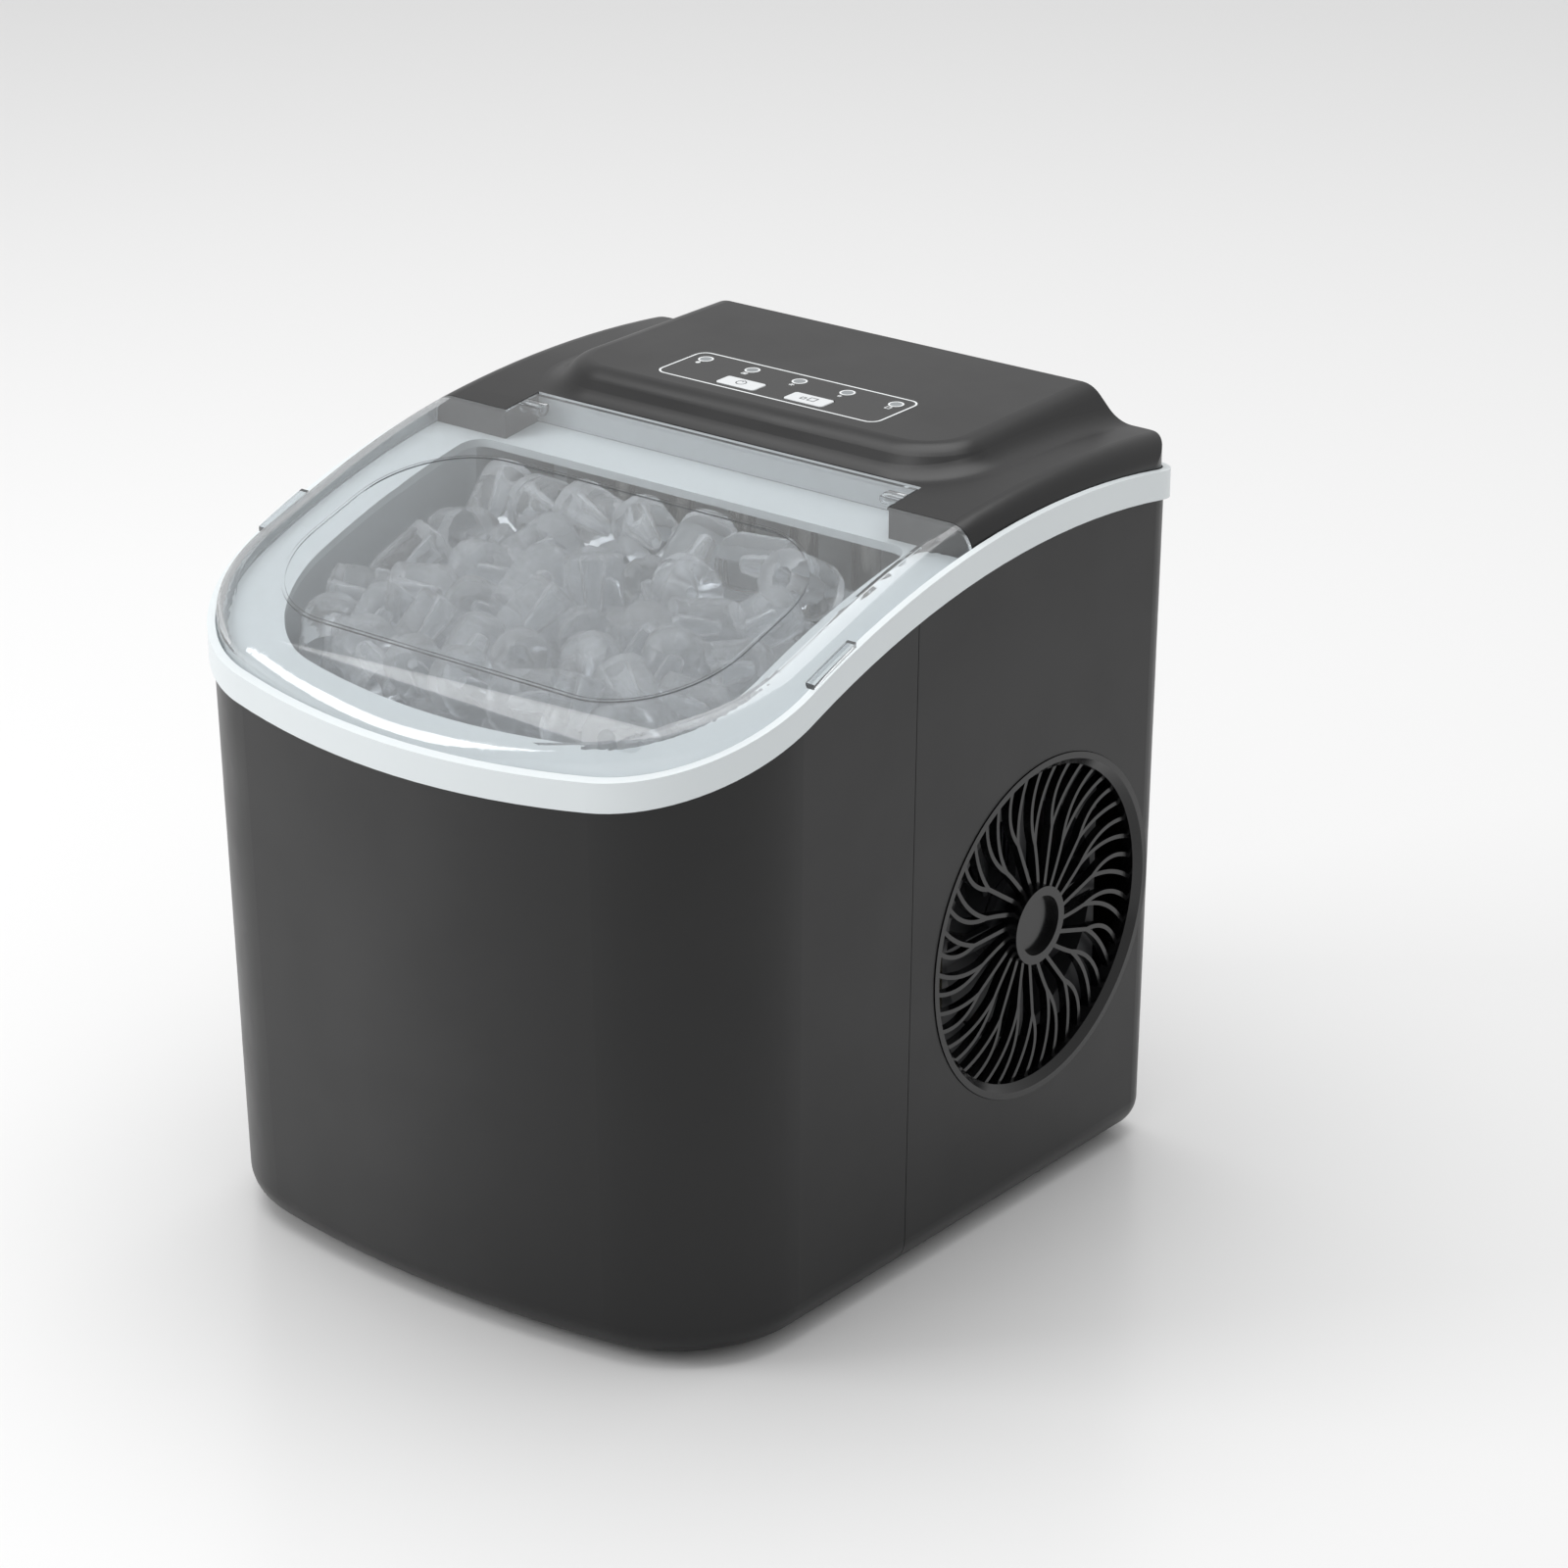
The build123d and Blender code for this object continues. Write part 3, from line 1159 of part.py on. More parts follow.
with BuildPart() as liquid_tube:
    add_tube(
        [
            (CONDENSER_X, COIL_END_Y, COIL_OUTLET_Z),
            (CONDENSER_X, COIL_END_Y, LIQUID_Z),
            (DRIER_X, COIL_END_Y, LIQUID_Z),
            (DRIER_X, DRIER_Y, LIQUID_Z),
            (DRIER_X, DRIER_Y, DRIER_LOW_Z),
        ],
        [11, 11, 11],
        2.5,
    )
save(liquid_tube, "liquid_tube")

with BuildPart() as capillary_tube:
    add_tube(
        [
            (DRIER_X, DRIER_Y, DRIER_HIGH_Z),
            (DRIER_X, DRIER_Y, CAPILLARY_Z),
            (CAPILLARY_X, DRIER_Y, CAPILLARY_Z),
            (CAPILLARY_X, DRIER_Y, TUBE_Z),
            (CAPILLARY_X, TUBE_END_Y, TUBE_Z),
        ],
        [10, 10, 8],
        1.3,
    )
save(capillary_tube, "capillary_tube")

with BuildPart() as suction_tube:
    add_tube(
        [
            (RETURN_X, TUBE_END_Y, TUBE_Z),
            (RETURN_X, SUCTION_Y, TUBE_Z),
            (RETURN_X, SUCTION_Y, 160),
            (SUCTION_X, SUCTION_Y, 145),
            (SUCTION_X, SUCTION_Y, COMPRESSOR_TOP_Z),
        ],
        [12, 12, 8],
        3.5,
    )
save(suction_tube, "suction_tube")

with BuildPart() as hot_gas_valve:
    add_box(
        (VALVE_X - 15, VALVE_Y - 14, VALVE_BOTTOM_Z),
        (VALVE_X + 15, VALVE_Y + 14, VALVE_TOP_Z),
    )
    fillet(hot_gas_valve.edges().filter_by(Axis.Z), radius=5)
    add_cylinder_z(VALVE_X, VALVE_Y, VALVE_TOP_Z, VALVE_TOP_Z + 10, 6)
    add_cylinder_z(VALVE_X, VALVE_Y, VALVE_BOTTOM_Z - 8, VALVE_BOTTOM_Z, 6)
save(hot_gas_valve, "hot_gas_valve")

with BuildPart() as hot_gas_tubes:
    add_tube(
        [
            (VALVE_X, DISCHARGE_Y, DISCHARGE_Z - 3),
            (VALVE_X, DISCHARGE_Y, 142),
            (VALVE_X, VALVE_Y, 142),
            (VALVE_X, VALVE_Y, VALVE_BOTTOM_Z - 8),
        ],
        [10, 7.5],
        2.5,
    )
    add_tube(
        [
            (VALVE_X, VALVE_Y, VALVE_TOP_Z + 10),
            (VALVE_X, VALVE_Y, HOT_GAS_Z),
            (HOT_GAS_X, VALVE_Y, HOT_GAS_Z),
            (HOT_GAS_X, VALVE_Y, TUBE_Z),
            (HOT_GAS_X, TUBE_END_Y, TUBE_Z),
        ],
        [10, 10, 10],
        2.5,
    )
save(hot_gas_tubes, "hot_gas_tubes")

# ---------------------------------------------------------------------------- electrics
with BuildPart() as main_board:
    add_box((30, BOARD_FRONT_Y, 150), (100, BOARD_FRONT_Y + BOARD_THICKNESS, 236))
save(main_board, "main_board")

with BuildPart() as board_components:
    add_box((36, 113, 156), (58, BOARD_FRONT_Y, 178))
    add_box((64, 115, 156), (80, BOARD_FRONT_Y, 174))
    add_box((36, 119, 190), (56, BOARD_FRONT_Y, 202))
    add_box((84, 121, 200), (96, BOARD_FRONT_Y, 228))
    add_cylinder_y(72, 111, BOARD_FRONT_Y, 196, 8)
    add_cylinder_y(72, 115, BOARD_FRONT_Y, 216, 6)
save(board_components, "board_components")

with BuildPart() as wiring_loom:
    add_tube([(30, 127, 225), (20, 127, 225), (20, 116, 225), (20, 116, 264)], [4.5, 4.5], 1.6)
save(wiring_loom, "wiring_loom")

with BuildPart() as cord_gland:
    add_cylinder_y(GLAND_X, 131, REAR_WALL_Y + 1, GLAND_Z, 8.0)
    add_cylinder_y(GLAND_X, REAR_WALL_Y + 0.6, REAR_WALL_Y + 3.2, GLAND_Z, 10.5)
    chamfer(cord_gland.faces().sort_by(Axis.Y)[-1].edges(), length=1.2)
    add_cylinder_y(GLAND_X, 128, 143, GLAND_Z, GLAND_BORE, Mode.SUBTRACT)
save(cord_gland, "cord_gland")
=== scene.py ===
"""Countertop ice maker: the finishes, the printed panel and the ice, built on the CAD frame.

Everything is in metres in the frame of the CAD model: Z is up, the counter is at Z = 0,
-Y is the front, where the clear lid slopes down, and +X is the right side.
"""

import logging
import math
import random
from dataclasses import dataclass, field
from enum import Enum
from typing import Any, Callable, Dict, List, Optional, Sequence, Tuple

import bmesh
import bpy
import numpy as np
from mathutils import Euler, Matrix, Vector

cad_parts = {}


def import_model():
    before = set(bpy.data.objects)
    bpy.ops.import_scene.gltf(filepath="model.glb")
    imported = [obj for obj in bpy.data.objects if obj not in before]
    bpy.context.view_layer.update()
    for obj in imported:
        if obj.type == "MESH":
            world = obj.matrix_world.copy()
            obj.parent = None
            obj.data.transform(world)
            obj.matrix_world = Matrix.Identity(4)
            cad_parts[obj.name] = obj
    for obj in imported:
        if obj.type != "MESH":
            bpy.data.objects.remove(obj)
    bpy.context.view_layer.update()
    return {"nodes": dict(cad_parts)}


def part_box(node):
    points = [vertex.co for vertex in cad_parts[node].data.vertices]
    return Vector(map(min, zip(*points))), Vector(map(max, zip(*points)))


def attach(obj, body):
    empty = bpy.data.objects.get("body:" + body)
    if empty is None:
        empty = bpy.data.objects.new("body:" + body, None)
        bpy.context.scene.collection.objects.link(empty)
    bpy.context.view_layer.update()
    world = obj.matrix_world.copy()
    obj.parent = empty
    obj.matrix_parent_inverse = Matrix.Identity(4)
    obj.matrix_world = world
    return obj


LOG = logging.getLogger("ice_maker")

MM = 0.001
Point = Tuple[float, float, float]


# ------------------------------------------------------------------------------ colour
def linear_colour(hex_code: str) -> Tuple[float, float, float, float]:
    """Turn an sRGB hex colour into the linear colour that shaders take.

    Args:
        hex_code: six hex digits, with or without a leading hash.

    Returns:
        Linear red, green and blue, and an alpha of 1.
    """
    digits = hex_code.lstrip("#")
    values = [int(digits[i : i + 2], 16) / 255 for i in (0, 2, 4)]
    linear = [v / 12.92 if v <= 0.04045 else ((v + 0.055) / 1.055) ** 2.4 for v in values]
    return (linear[0], linear[1], linear[2], 1.0)


def add_node(
    tree: bpy.types.NodeTree,
    kind: str,
    settings: Optional[Dict[str, Any]] = None,
    values: Optional[Dict[Any, Any]] = None,
    links: Optional[Dict[Any, bpy.types.NodeSocket]] = None,
) -> bpy.types.Node:
    """Add one node with its settings, socket values and incoming links.

    Args:
        tree: the node tree to add to.
        kind: Blender's name for the node.
        settings: attributes of the node itself.
        values: default values by input socket.
        links: output sockets of other nodes by input socket.

    Returns:
        The new node.
    """
    node = tree.nodes.new(kind)
    for name, value in (settings or {}).items():
        setattr(node, name, value)
    for socket, value in (values or {}).items():
        node.inputs[socket].default_value = value
    for socket, source in (links or {}).items():
        tree.links.new(source, node.inputs[socket])
    return node


# ---------------------------------------------------------------------------- finishes
@dataclass(frozen=True)
class Finish:
    """What every finish has: a name, a colour and a roughness, and a way to be built."""

    name: str
    colour: str
    roughness: float

    def start(self) -> Tuple[bpy.types.Material, bpy.types.NodeTree, bpy.types.Node]:
        """Make an empty node material with its output.

        Returns:
            The material, its tree and its output node.
        """
        material = bpy.data.materials.new(self.name)
        material.use_nodes = True
        tree = material.node_tree
        tree.nodes.clear()
        output = add_node(tree, "ShaderNodeOutputMaterial")
        return material, tree, output

    def build(self) -> bpy.types.Material:
        """Make the material; each kind of finish says how."""
        raise NotImplementedError


@dataclass(frozen=True)
class MouldedPlastic(Finish):
    """Injection-moulded ABS or rubber: an even colour, a fine mould grain and slow waves
    in the gloss where the melt flowed."""

    ior: float = 1.54
    specular: float = 0.5
    grain_mm: float = 0.8
    grain_depth_mm: float = 0.004
    flow_mm: float = 45.0
    flow_share: float = 0.12
    shade_share: float = 0.1
    coat: float = 0.0
    coat_roughness: float = 0.1

    def build(self) -> bpy.types.Material:
        """Make the material."""
        material, tree, output = self.start()
        place = add_node(tree, "ShaderNodeTexCoord").outputs["Object"]
        flow = add_node(
            tree,
            "ShaderNodeTexNoise",
            values={"Scale": 1 / (self.flow_mm * MM), "Detail": 3.0, "Roughness": 0.55},
            links={"Vector": place},
        )
        gloss = add_node(
            tree,
            "ShaderNodeMapRange",
            values={
                "From Min": 0.3,
                "From Max": 0.7,
                "To Min": self.roughness * (1 - self.flow_share),
                "To Max": self.roughness * (1 + self.flow_share),
            },
            links={"Value": flow.outputs["Fac"]},
        )
        base = linear_colour(self.colour)
        darker = tuple(c * (1 - self.shade_share) for c in base[:3]) + (1.0,)
        lighter = tuple(min(1.0, c * (1 + self.shade_share)) for c in base[:3]) + (1.0,)
        tint = add_node(
            tree,
            "ShaderNodeMix",
            settings={"data_type": "RGBA"},
            values={6: darker, 7: lighter},
            links={0: flow.outputs["Fac"]},
        )
        grain = add_node(
            tree,
            "ShaderNodeTexNoise",
            values={"Scale": 1 / (self.grain_mm * MM), "Detail": 2.0},
            links={"Vector": place},
        )
        relief = add_node(
            tree,
            "ShaderNodeBump",
            values={"Strength": 1.0, "Distance": self.grain_depth_mm * MM},
            links={"Height": grain.outputs["Fac"]},
        )
        surface = add_node(
            tree,
            "ShaderNodeBsdfPrincipled",
            values={
                "IOR": self.ior,
                "Specular IOR Level": self.specular,
                "Coat Weight": self.coat,
                "Coat Roughness": self.coat_roughness,
            },
            links={
                "Base Color": tint.outputs[2],
                "Roughness": gloss.outputs["Result"],
                "Normal": relief.outputs["Normal"],
            },
        )
        tree.links.new(surface.outputs["BSDF"], output.inputs["Surface"])
        return material


@dataclass(frozen=True)
class ClearSolid(Finish):
    """A clear solid: smoked polycarbonate or ice. Lamps shine straight through it, so
    what it covers is lit as it is behind a real thin wall."""

    ior: float = 1.45
    transmission: float = 1.0
    haze_mm: float = 18.0
    haze: float = 0.02
    ripple_mm: float = 14.0
    ripple_depth_mm: float = 0.0
    lamp_share: float = 0.9

    def build(self) -> bpy.types.Material:
        """Make the material."""
        material, tree, output = self.start()
        place = add_node(tree, "ShaderNodeTexCoord").outputs["Object"]
        cloud = add_node(
            tree,
            "ShaderNodeTexNoise",
            values={"Scale": 1 / (self.haze_mm * MM), "Detail": 4.0, "Roughness": 0.6},
            links={"Vector": place},
        )
        rough = add_node(
            tree,
            "ShaderNodeMapRange",
            values={
                "From Min": 0.45,
                "From Max": 0.75,
                "To Min": self.roughness,
                "To Max": self.roughness + self.haze,
            },
            links={"Value": cloud.outputs["Fac"]},
        )
        ripple = add_node(
            tree,
            "ShaderNodeTexNoise",
            values={"Scale": 1 / (self.ripple_mm * MM), "Detail": 2.0},
            links={"Vector": place},
        )
        relief = add_node(
            tree,
            "ShaderNodeBump",
            values={"Strength": 1.0, "Distance": self.ripple_depth_mm * MM},
            links={"Height": ripple.outputs["Fac"]},
        )
        surface = add_node(
            tree,
            "ShaderNodeBsdfPrincipled",
            values={
                "Base Color": linear_colour(self.colour),
                "IOR": self.ior,
                "Transmission Weight": self.transmission,
            },
            links={"Roughness": rough.outputs["Result"], "Normal": relief.outputs["Normal"]},
        )
        share = self.lamp_share
        pass_light = add_node(
            tree, "ShaderNodeBsdfTransparent", values={"Color": (share, share, share, 1.0)}
        )
        path = add_node(tree, "ShaderNodeLightPath")
        mixed = add_node(
            tree,
            "ShaderNodeMixShader",
            links={
                0: path.outputs["Is Shadow Ray"],
                1: surface.outputs["BSDF"],
                2: pass_light.outputs["BSDF"],
            },
        )
        tree.links.new(mixed.outputs["Shader"], output.inputs["Surface"])
        return material


@dataclass(frozen=True)
class WorkedMetal(Finish):
    """Sheet, drawn tube or plated metal, with the faint streaks its making leaves."""

    streak_mm: Point = (0.6, 0.6, 14.0)
    streak_share: float = 0.25
    tarnish: str = "#5a4a3c"
    tarnish_share: float = 0.15

    def build(self) -> bpy.types.Material:
        """Make the material."""
        material, tree, output = self.start()
        place = add_node(tree, "ShaderNodeTexCoord").outputs["Object"]
        stretch = tuple(1 / (s * MM) for s in self.streak_mm)
        stretched = add_node(
            tree, "ShaderNodeMapping", values={"Scale": stretch}, links={"Vector": place}
        )
        streaks = add_node(
            tree,
            "ShaderNodeTexNoise",
            values={"Scale": 1.0, "Detail": 2.0},
            links={"Vector": stretched.outputs["Vector"]},
        )
        rough = add_node(
            tree,
            "ShaderNodeMapRange",
            values={
                "From Min": 0.3,
                "From Max": 0.7,
                "To Min": self.roughness * (1 - self.streak_share),
                "To Max": self.roughness * (1 + self.streak_share),
            },
            links={"Value": streaks.outputs["Fac"]},
        )
        spots = add_node(
            tree,
            "ShaderNodeTexNoise",
            values={"Scale": 1 / (9 * MM), "Detail": 5.0},
            links={"Vector": place},
        )
        amount = add_node(
            tree,
            "ShaderNodeMapRange",
            values={"From Min": 0.5, "From Max": 0.8, "To Min": 0.0, "To Max": self.tarnish_share},
            links={"Value": spots.outputs["Fac"]},
        )
        tint = add_node(
            tree,
            "ShaderNodeMix",
            settings={"data_type": "RGBA"},
            values={6: linear_colour(self.colour), 7: linear_colour(self.tarnish)},
            links={0: amount.outputs["Result"]},
        )
        surface = add_node(
            tree,
            "ShaderNodeBsdfPrincipled",
            values={"Metallic": 1.0},
            links={"Base Color": tint.outputs[2], "Roughness": rough.outputs["Result"]},
        )
        tree.links.new(surface.outputs["BSDF"], output.inputs["Surface"])
        return material


@dataclass(frozen=True)
class CellFoam(Finish):
    """Rigid polyurethane foam: cream, with a skin of small burst cells."""

    cell_mm: float = 2.2
    cell_depth_mm: float = 0.25

    def build(self) -> bpy.types.Material:
        """Make the material."""
        material, tree, output = self.start()
        place = add_node(tree, "ShaderNodeTexCoord").outputs["Object"]
        cells = add_node(
            tree,
            "ShaderNodeTexVoronoi",
            values={"Scale": 1 / (self.cell_mm * MM)},
            links={"Vector": place},
        )
        relief = add_node(
            tree,
            "ShaderNodeBump",
            values={"Strength": 1.0, "Distance": self.cell_depth_mm * MM},
            links={"Height": cells.outputs["Distance"]},
        )
        surface = add_node(
            tree,
            "ShaderNodeBsdfPrincipled",
            values={"Base Color": linear_colour(self.colour), "Roughness": self.roughness},
            links={"Normal": relief.outputs["Normal"]},
        )
        tree.links.new(surface.outputs["BSDF"], output.inputs["Surface"])
        return material


@dataclass(frozen=True)
class CircuitBoard(Finish):
    """Green solder mask with the paler lines of the copper tracks under it."""

    track: str = "#2f7a45"
    track_mm: float = 2.5

    def build(self) -> bpy.types.Material:
        """Make the material."""
        material, tree, output = self.start()
        place = add_node(tree, "ShaderNodeTexCoord").outputs["Object"]
        bricks = add_node(
            tree,
            "ShaderNodeTexBrick",
            values={
                "Color1": linear_colour(self.colour),
                "Color2": linear_colour(self.colour),
                "Mortar": linear_colour(self.track),
                "Scale": 1 / (self.track_mm * 4 * MM),
                "Mortar Size": 0.03,
            },
            links={"Vector": place},
        )
        surface = add_node(
            tree,
            "ShaderNodeBsdfPrincipled",
            values={"Roughness": self.roughness},
            links={"Base Color": bricks.outputs["Color"]},
        )
        tree.links.new(surface.outputs["BSDF"], output.inputs["Surface"])
        return material


class Finishes:
    """The machine's finishes. Each is built once and shared by the pieces that have it."""

    # Spark-eroded mould, satin black ABS: deep black that still shows broad soft lights.
    body_black = MouldedPlastic("satin_black_abs", "#0c0c0d", 0.37, specular=0.4)
    # The same plastic from a polished mould, so its ribs glint.
    grille_black = MouldedPlastic(
        "polished_black_abs", "#070708", 0.2, grain_depth_mm=0.001, flow_share=0.2
    )
    # The cover's mould is finer than the body's, and its slopes carry clear highlights.
    cover_black = MouldedPlastic("smooth_black_abs", "#101011", 0.32, grain_depth_mm=0.002)
    # Pale cool grey ABS with a soft sheen.
    trim_grey = MouldedPlastic(
        "cool_grey_abs", "#e2e8ea", 0.34, ior=1.54, grain_depth_mm=0.002, shade_share=0.02
    )
    liner_grey = MouldedPlastic(
        "food_safe_grey_plastic", "#c9ced1", 0.42, ior=1.5, grain_depth_mm=0.003, shade_share=0.03
    )
    basket_grey = MouldedPlastic(
        "milky_grey_polypropylene", "#c3c8cb", 0.35, ior=1.49, shade_share=0.03
    )
    # Screen-printed hard-coated film: almost mirror-flat, so darker than the cover round it.
    panel_film = MouldedPlastic(
        "hard_coat_film", "#161617", 0.22, grain_mm=0.5, grain_depth_mm=0.0006
    )
    white_print = MouldedPlastic(
        "white_screen_ink", "#eef1f2", 0.5, grain_mm=0.4, grain_depth_mm=0.001, shade_share=0.02
    )
    key_white = MouldedPlastic(
        "white_key_cap", "#e3e6e8", 0.3, grain_depth_mm=0.001, shade_share=0.03
    )
    dark_print = MouldedPlastic("grey_screen_ink", "#4a4d50", 0.5, grain_depth_mm=0.001)
    lamp_lens = MouldedPlastic(
        "frosted_light_pipe", "#8f9497", 0.25, ior=1.49, grain_depth_mm=0.001
    )
    fitting_dark = MouldedPlastic("dark_grey_nylon", "#2a2b2d", 0.45, grain_mm=1.0)
    rubber = MouldedPlastic(
        "black_silicone_rubber", "#141415", 0.7, ior=1.43, grain_mm=0.9, grain_depth_mm=0.02
    )
    hose = MouldedPlastic("milky_silicone_hose", "#cfd2cf", 0.4, ior=1.43, shade_share=0.04)
    component = MouldedPlastic("moulded_component_epoxy", "#17181a", 0.5, grain_mm=0.6)
    foam = CellFoam("cream_polyurethane_foam", "#d9cda6", 0.85)
    board = CircuitBoard("green_solder_mask", "#12492a", 0.35)
    zinc = WorkedMetal("zinc_plated_steel", "#b9bbbd", 0.32, tarnish="#77787a")
    galvanised = WorkedMetal(
        "galvanised_steel_sheet", "#aeb2b5", 0.42, streak_mm=(8.0, 8.0, 8.0), tarnish="#8d9194"
    )
    copper = WorkedMetal("drawn_copper_tube", "#c9825c", 0.28, tarnish="#7a4a34")
    fin_stock = WorkedMetal("mill_aluminium_fins", "#c6c9cb", 0.35, tarnish="#9fa2a4")
    nickel = WorkedMetal("nickel_plated_copper", "#bdb9b0", 0.18, tarnish="#96938c")
    enamel = MouldedPlastic("black_stove_enamel", "#0e0e0f", 0.24, grain_mm=2.0, coat=0.3)
    # Clear polycarbonate with a faint smoke tint; the mould leaves it glass smooth.
    smoked_clear = ClearSolid(
        "smoked_polycarbonate",
        "#dde0e2",
        0.015,
        ior=1.58,
        transmission=0.95,
        haze=0.01,
        lamp_share=0.88,
    )
    # Clear ice: wet, bright, with cloudy streaks of trapped air.
    ice = ClearSolid(
        "wet_clear_ice",
        "#fbfdff",
        0.03,
        ior=1.31,
        transmission=0.85,
        haze_mm=9.0,
        haze=0.22,
        ripple_mm=5.0,
        ripple_depth_mm=0.35,
        lamp_share=0.93,
    )

    def __init__(self) -> None:
        """Start with no material built."""
        self._built: Dict[str, bpy.types.Material] = {}

    def get(self, finish: Finish) -> bpy.types.Material:
        """The material of a finish, built the first time it is asked for."""
        if finish.name not in self._built:
            self._built[finish.name] = finish.build()
        return self._built[finish.name]


# ------------------------------------------------------------------------ mesh handling
def clear_selection() -> None:
    """Leave edit mode and deselect everything."""
    active = bpy.context.view_layer.objects.active
    if active is not None and active.mode != "OBJECT":
        bpy.ops.object.mode_set(mode="OBJECT")
    bpy.ops.object.select_all(action="DESELECT")


def start_editing(obj: bpy.types.Object) -> None:
    """Select one object alone and open it in edit mode."""
    clear_selection()
    obj.select_set(True)
    bpy.context.view_layer.objects.active = obj
    bpy.ops.object.mode_set(mode="EDIT")


class Pick(Enum):
    """What a selection in edit mode is made of."""

    VERTICES = "VERT"
    EDGES = "EDGE"
    FACES = "FACE"


def pick(kind: Pick, test: Callable[[Any], bool]) -> int:
    """Select the elements of the mesh in edit mode that pass a test.

    Args:
        kind: vertices, edges or faces.
        test: says whether one bmesh element is wanted.

    Returns:
        How many were selected.
    """
    mesh = bpy.context.view_layer.objects.active.data
    bpy.ops.mesh.select_mode(type=kind.value)
    bpy.ops.mesh.select_all(action="DESELECT")
    cage = bmesh.from_edit_mesh(mesh)
    parts = {Pick.VERTICES: cage.verts, Pick.EDGES: cage.edges, Pick.FACES: cage.faces}[kind]
    chosen = 0
    for part in parts:
        if test(part):
            part.select_set(True)
            chosen += 1
    cage.select_flush_mode()
    bmesh.update_edit_mesh(mesh)
    return chosen


def edge_level(edge: Any) -> float:
    """Height of an edge's middle."""
    return (edge.verts[0].co.z + edge.verts[1].co.z) / 2


def rest_at_origin(obj: bpy.types.Object) -> None:
    """Move an object's place into its mesh, so that it sits at the origin, unturned."""
    clear_selection()
    obj.select_set(True)
    bpy.context.view_layer.objects.active = obj
    bpy.ops.object.transform_apply(location=True, rotation=True, scale=True)


def join(pieces: Sequence[bpy.types.Object], name: str) -> bpy.types.Object:
    """Join several objects into one.

    Args:
        pieces: the objects, of which the first stays.
        name: the name of the whole.

    Returns:
        The joined object.
    """
    clear_selection()
    for piece in pieces:
        piece.select_set(True)
    bpy.context.view_layer.objects.active = pieces[0]
    if len(pieces) > 1:
        bpy.ops.object.join()
    pieces[0].name = name
    pieces[0].data.name = name
    return pieces[0]


def dress(obj: bpy.types.Object, material: bpy.types.Material) -> None:
    """Give an object one material in place of what it has."""
    if obj.data.materials:
        for index in range(len(obj.data.materials)):
            obj.data.materials[index] = material
    else:
        obj.data.materials.append(material)


# -------------------------------------------------------------------------- the machine
@dataclass
class Machine:
    """The CAD nodes, each with the finish of the real part."""

    finishes: Finishes
    nodes: Dict[str, bpy.types.Object]
    dressing: Dict[str, Finish] = field(
        default_factory=lambda: {
            "front_shell": Finishes.body_black,
            "rear_shell": Finishes.body_black,
            "right_grille": Finishes.grille_black,
            "left_grille": Finishes.grille_black,
            "trim_band_frame": Finishes.trim_grey,
            "lid": Finishes.smoked_clear,
            "lid_hinge_pins": Finishes.zinc,
            "top_cover": Finishes.cover_black,
            "panel_overlay": Finishes.panel_film,
            "indicator_light_pipes": Finishes.lamp_lens,
            "power_key": Finishes.key_white,
            "size_key": Finishes.key_white,
            "control_board": Finishes.board,
            "board_switches_and_lamps": Finishes.component,
            "cover_screws": Finishes.zinc,
            "base_pan": Finishes.galvanised,
            "rubber_feet": Finishes.rubber,
            "base_screws": Finishes.zinc,
            "inner_tub": Finishes.liner_grey,
            "foam_insulation": Finishes.foam,
            "ice_basket": Finishes.basket_grey,
            "ice_level_sensors": Finishes.fitting_dark,
            "chamber_posts": Finishes.liner_grey,
            "evaporator_plate": Finishes.nickel,
            "freezing_fingers": Finishes.nickel,
            "evaporator_tube": Finishes.copper,
            "water_tray": Finishes.liner_grey,
            "tray_pivot_pins": Finishes.zinc,
            "tray_gear_motor": Finishes.fitting_dark,
            "tray_end_switch": Finishes.fitting_dark,
            "water_pump": Finishes.fitting_dark,
            "water_hose": Finishes.hose,
            "float_stem": Finishes.fitting_dark,
            "level_float": Finishes.key_white,
            "drain_tube": Finishes.hose,
            "drain_plug": Finishes.rubber,
            "compressor": Finishes.enamel,
            "compressor_grommets": Finishes.rubber,
            "compressor_terminal_box": Finishes.fitting_dark,
            "condenser_coil": Finishes.copper,
            "condenser_fins": Finishes.fin_stock,
            "fan_frame": Finishes.fitting_dark,
            "fan_motor": Finishes.fitting_dark,
            "fan_rotor": Finishes.fitting_dark,
            "fan_shaft": Finishes.zinc,
            "filter_drier": Finishes.copper,
            "discharge_tube": Finishes.copper,
            "liquid_tube": Finishes.copper,
            "capillary_tube": Finishes.copper,
            "suction_tube": Finishes.copper,
            "hot_gas_valve": Finishes.zinc,
            "hot_gas_tubes": Finishes.copper,
            "main_board": Finishes.board,
            "board_components": Finishes.component,
            "wiring_loom": Finishes.fitting_dark,
            "cord_gland": Finishes.fitting_dark,
        }
    )

    def build(self) -> None:
        """Dress every node, and stop if one was forgotten."""
        missing = sorted(set(self.nodes) - set(self.dressing))
        if missing:
            raise ValueError(f"no finish for {missing}")
        for name, node in sorted(self.nodes.items()):
            finish = self.dressing[name]
            dress(node, self.finishes.get(finish))
            LOG.info("%s is %s", name, finish.name)


# -------------------------------------------------------------------- the printed panel
class Icon(Enum):
    """The plain marks under the indicator lamps."""

    DROP = "add water"
    FULL_BIN = "bin full"
    RUN = "running"
    SMALL_ICE = "small ice"
    LARGE_ICE = "large ice"


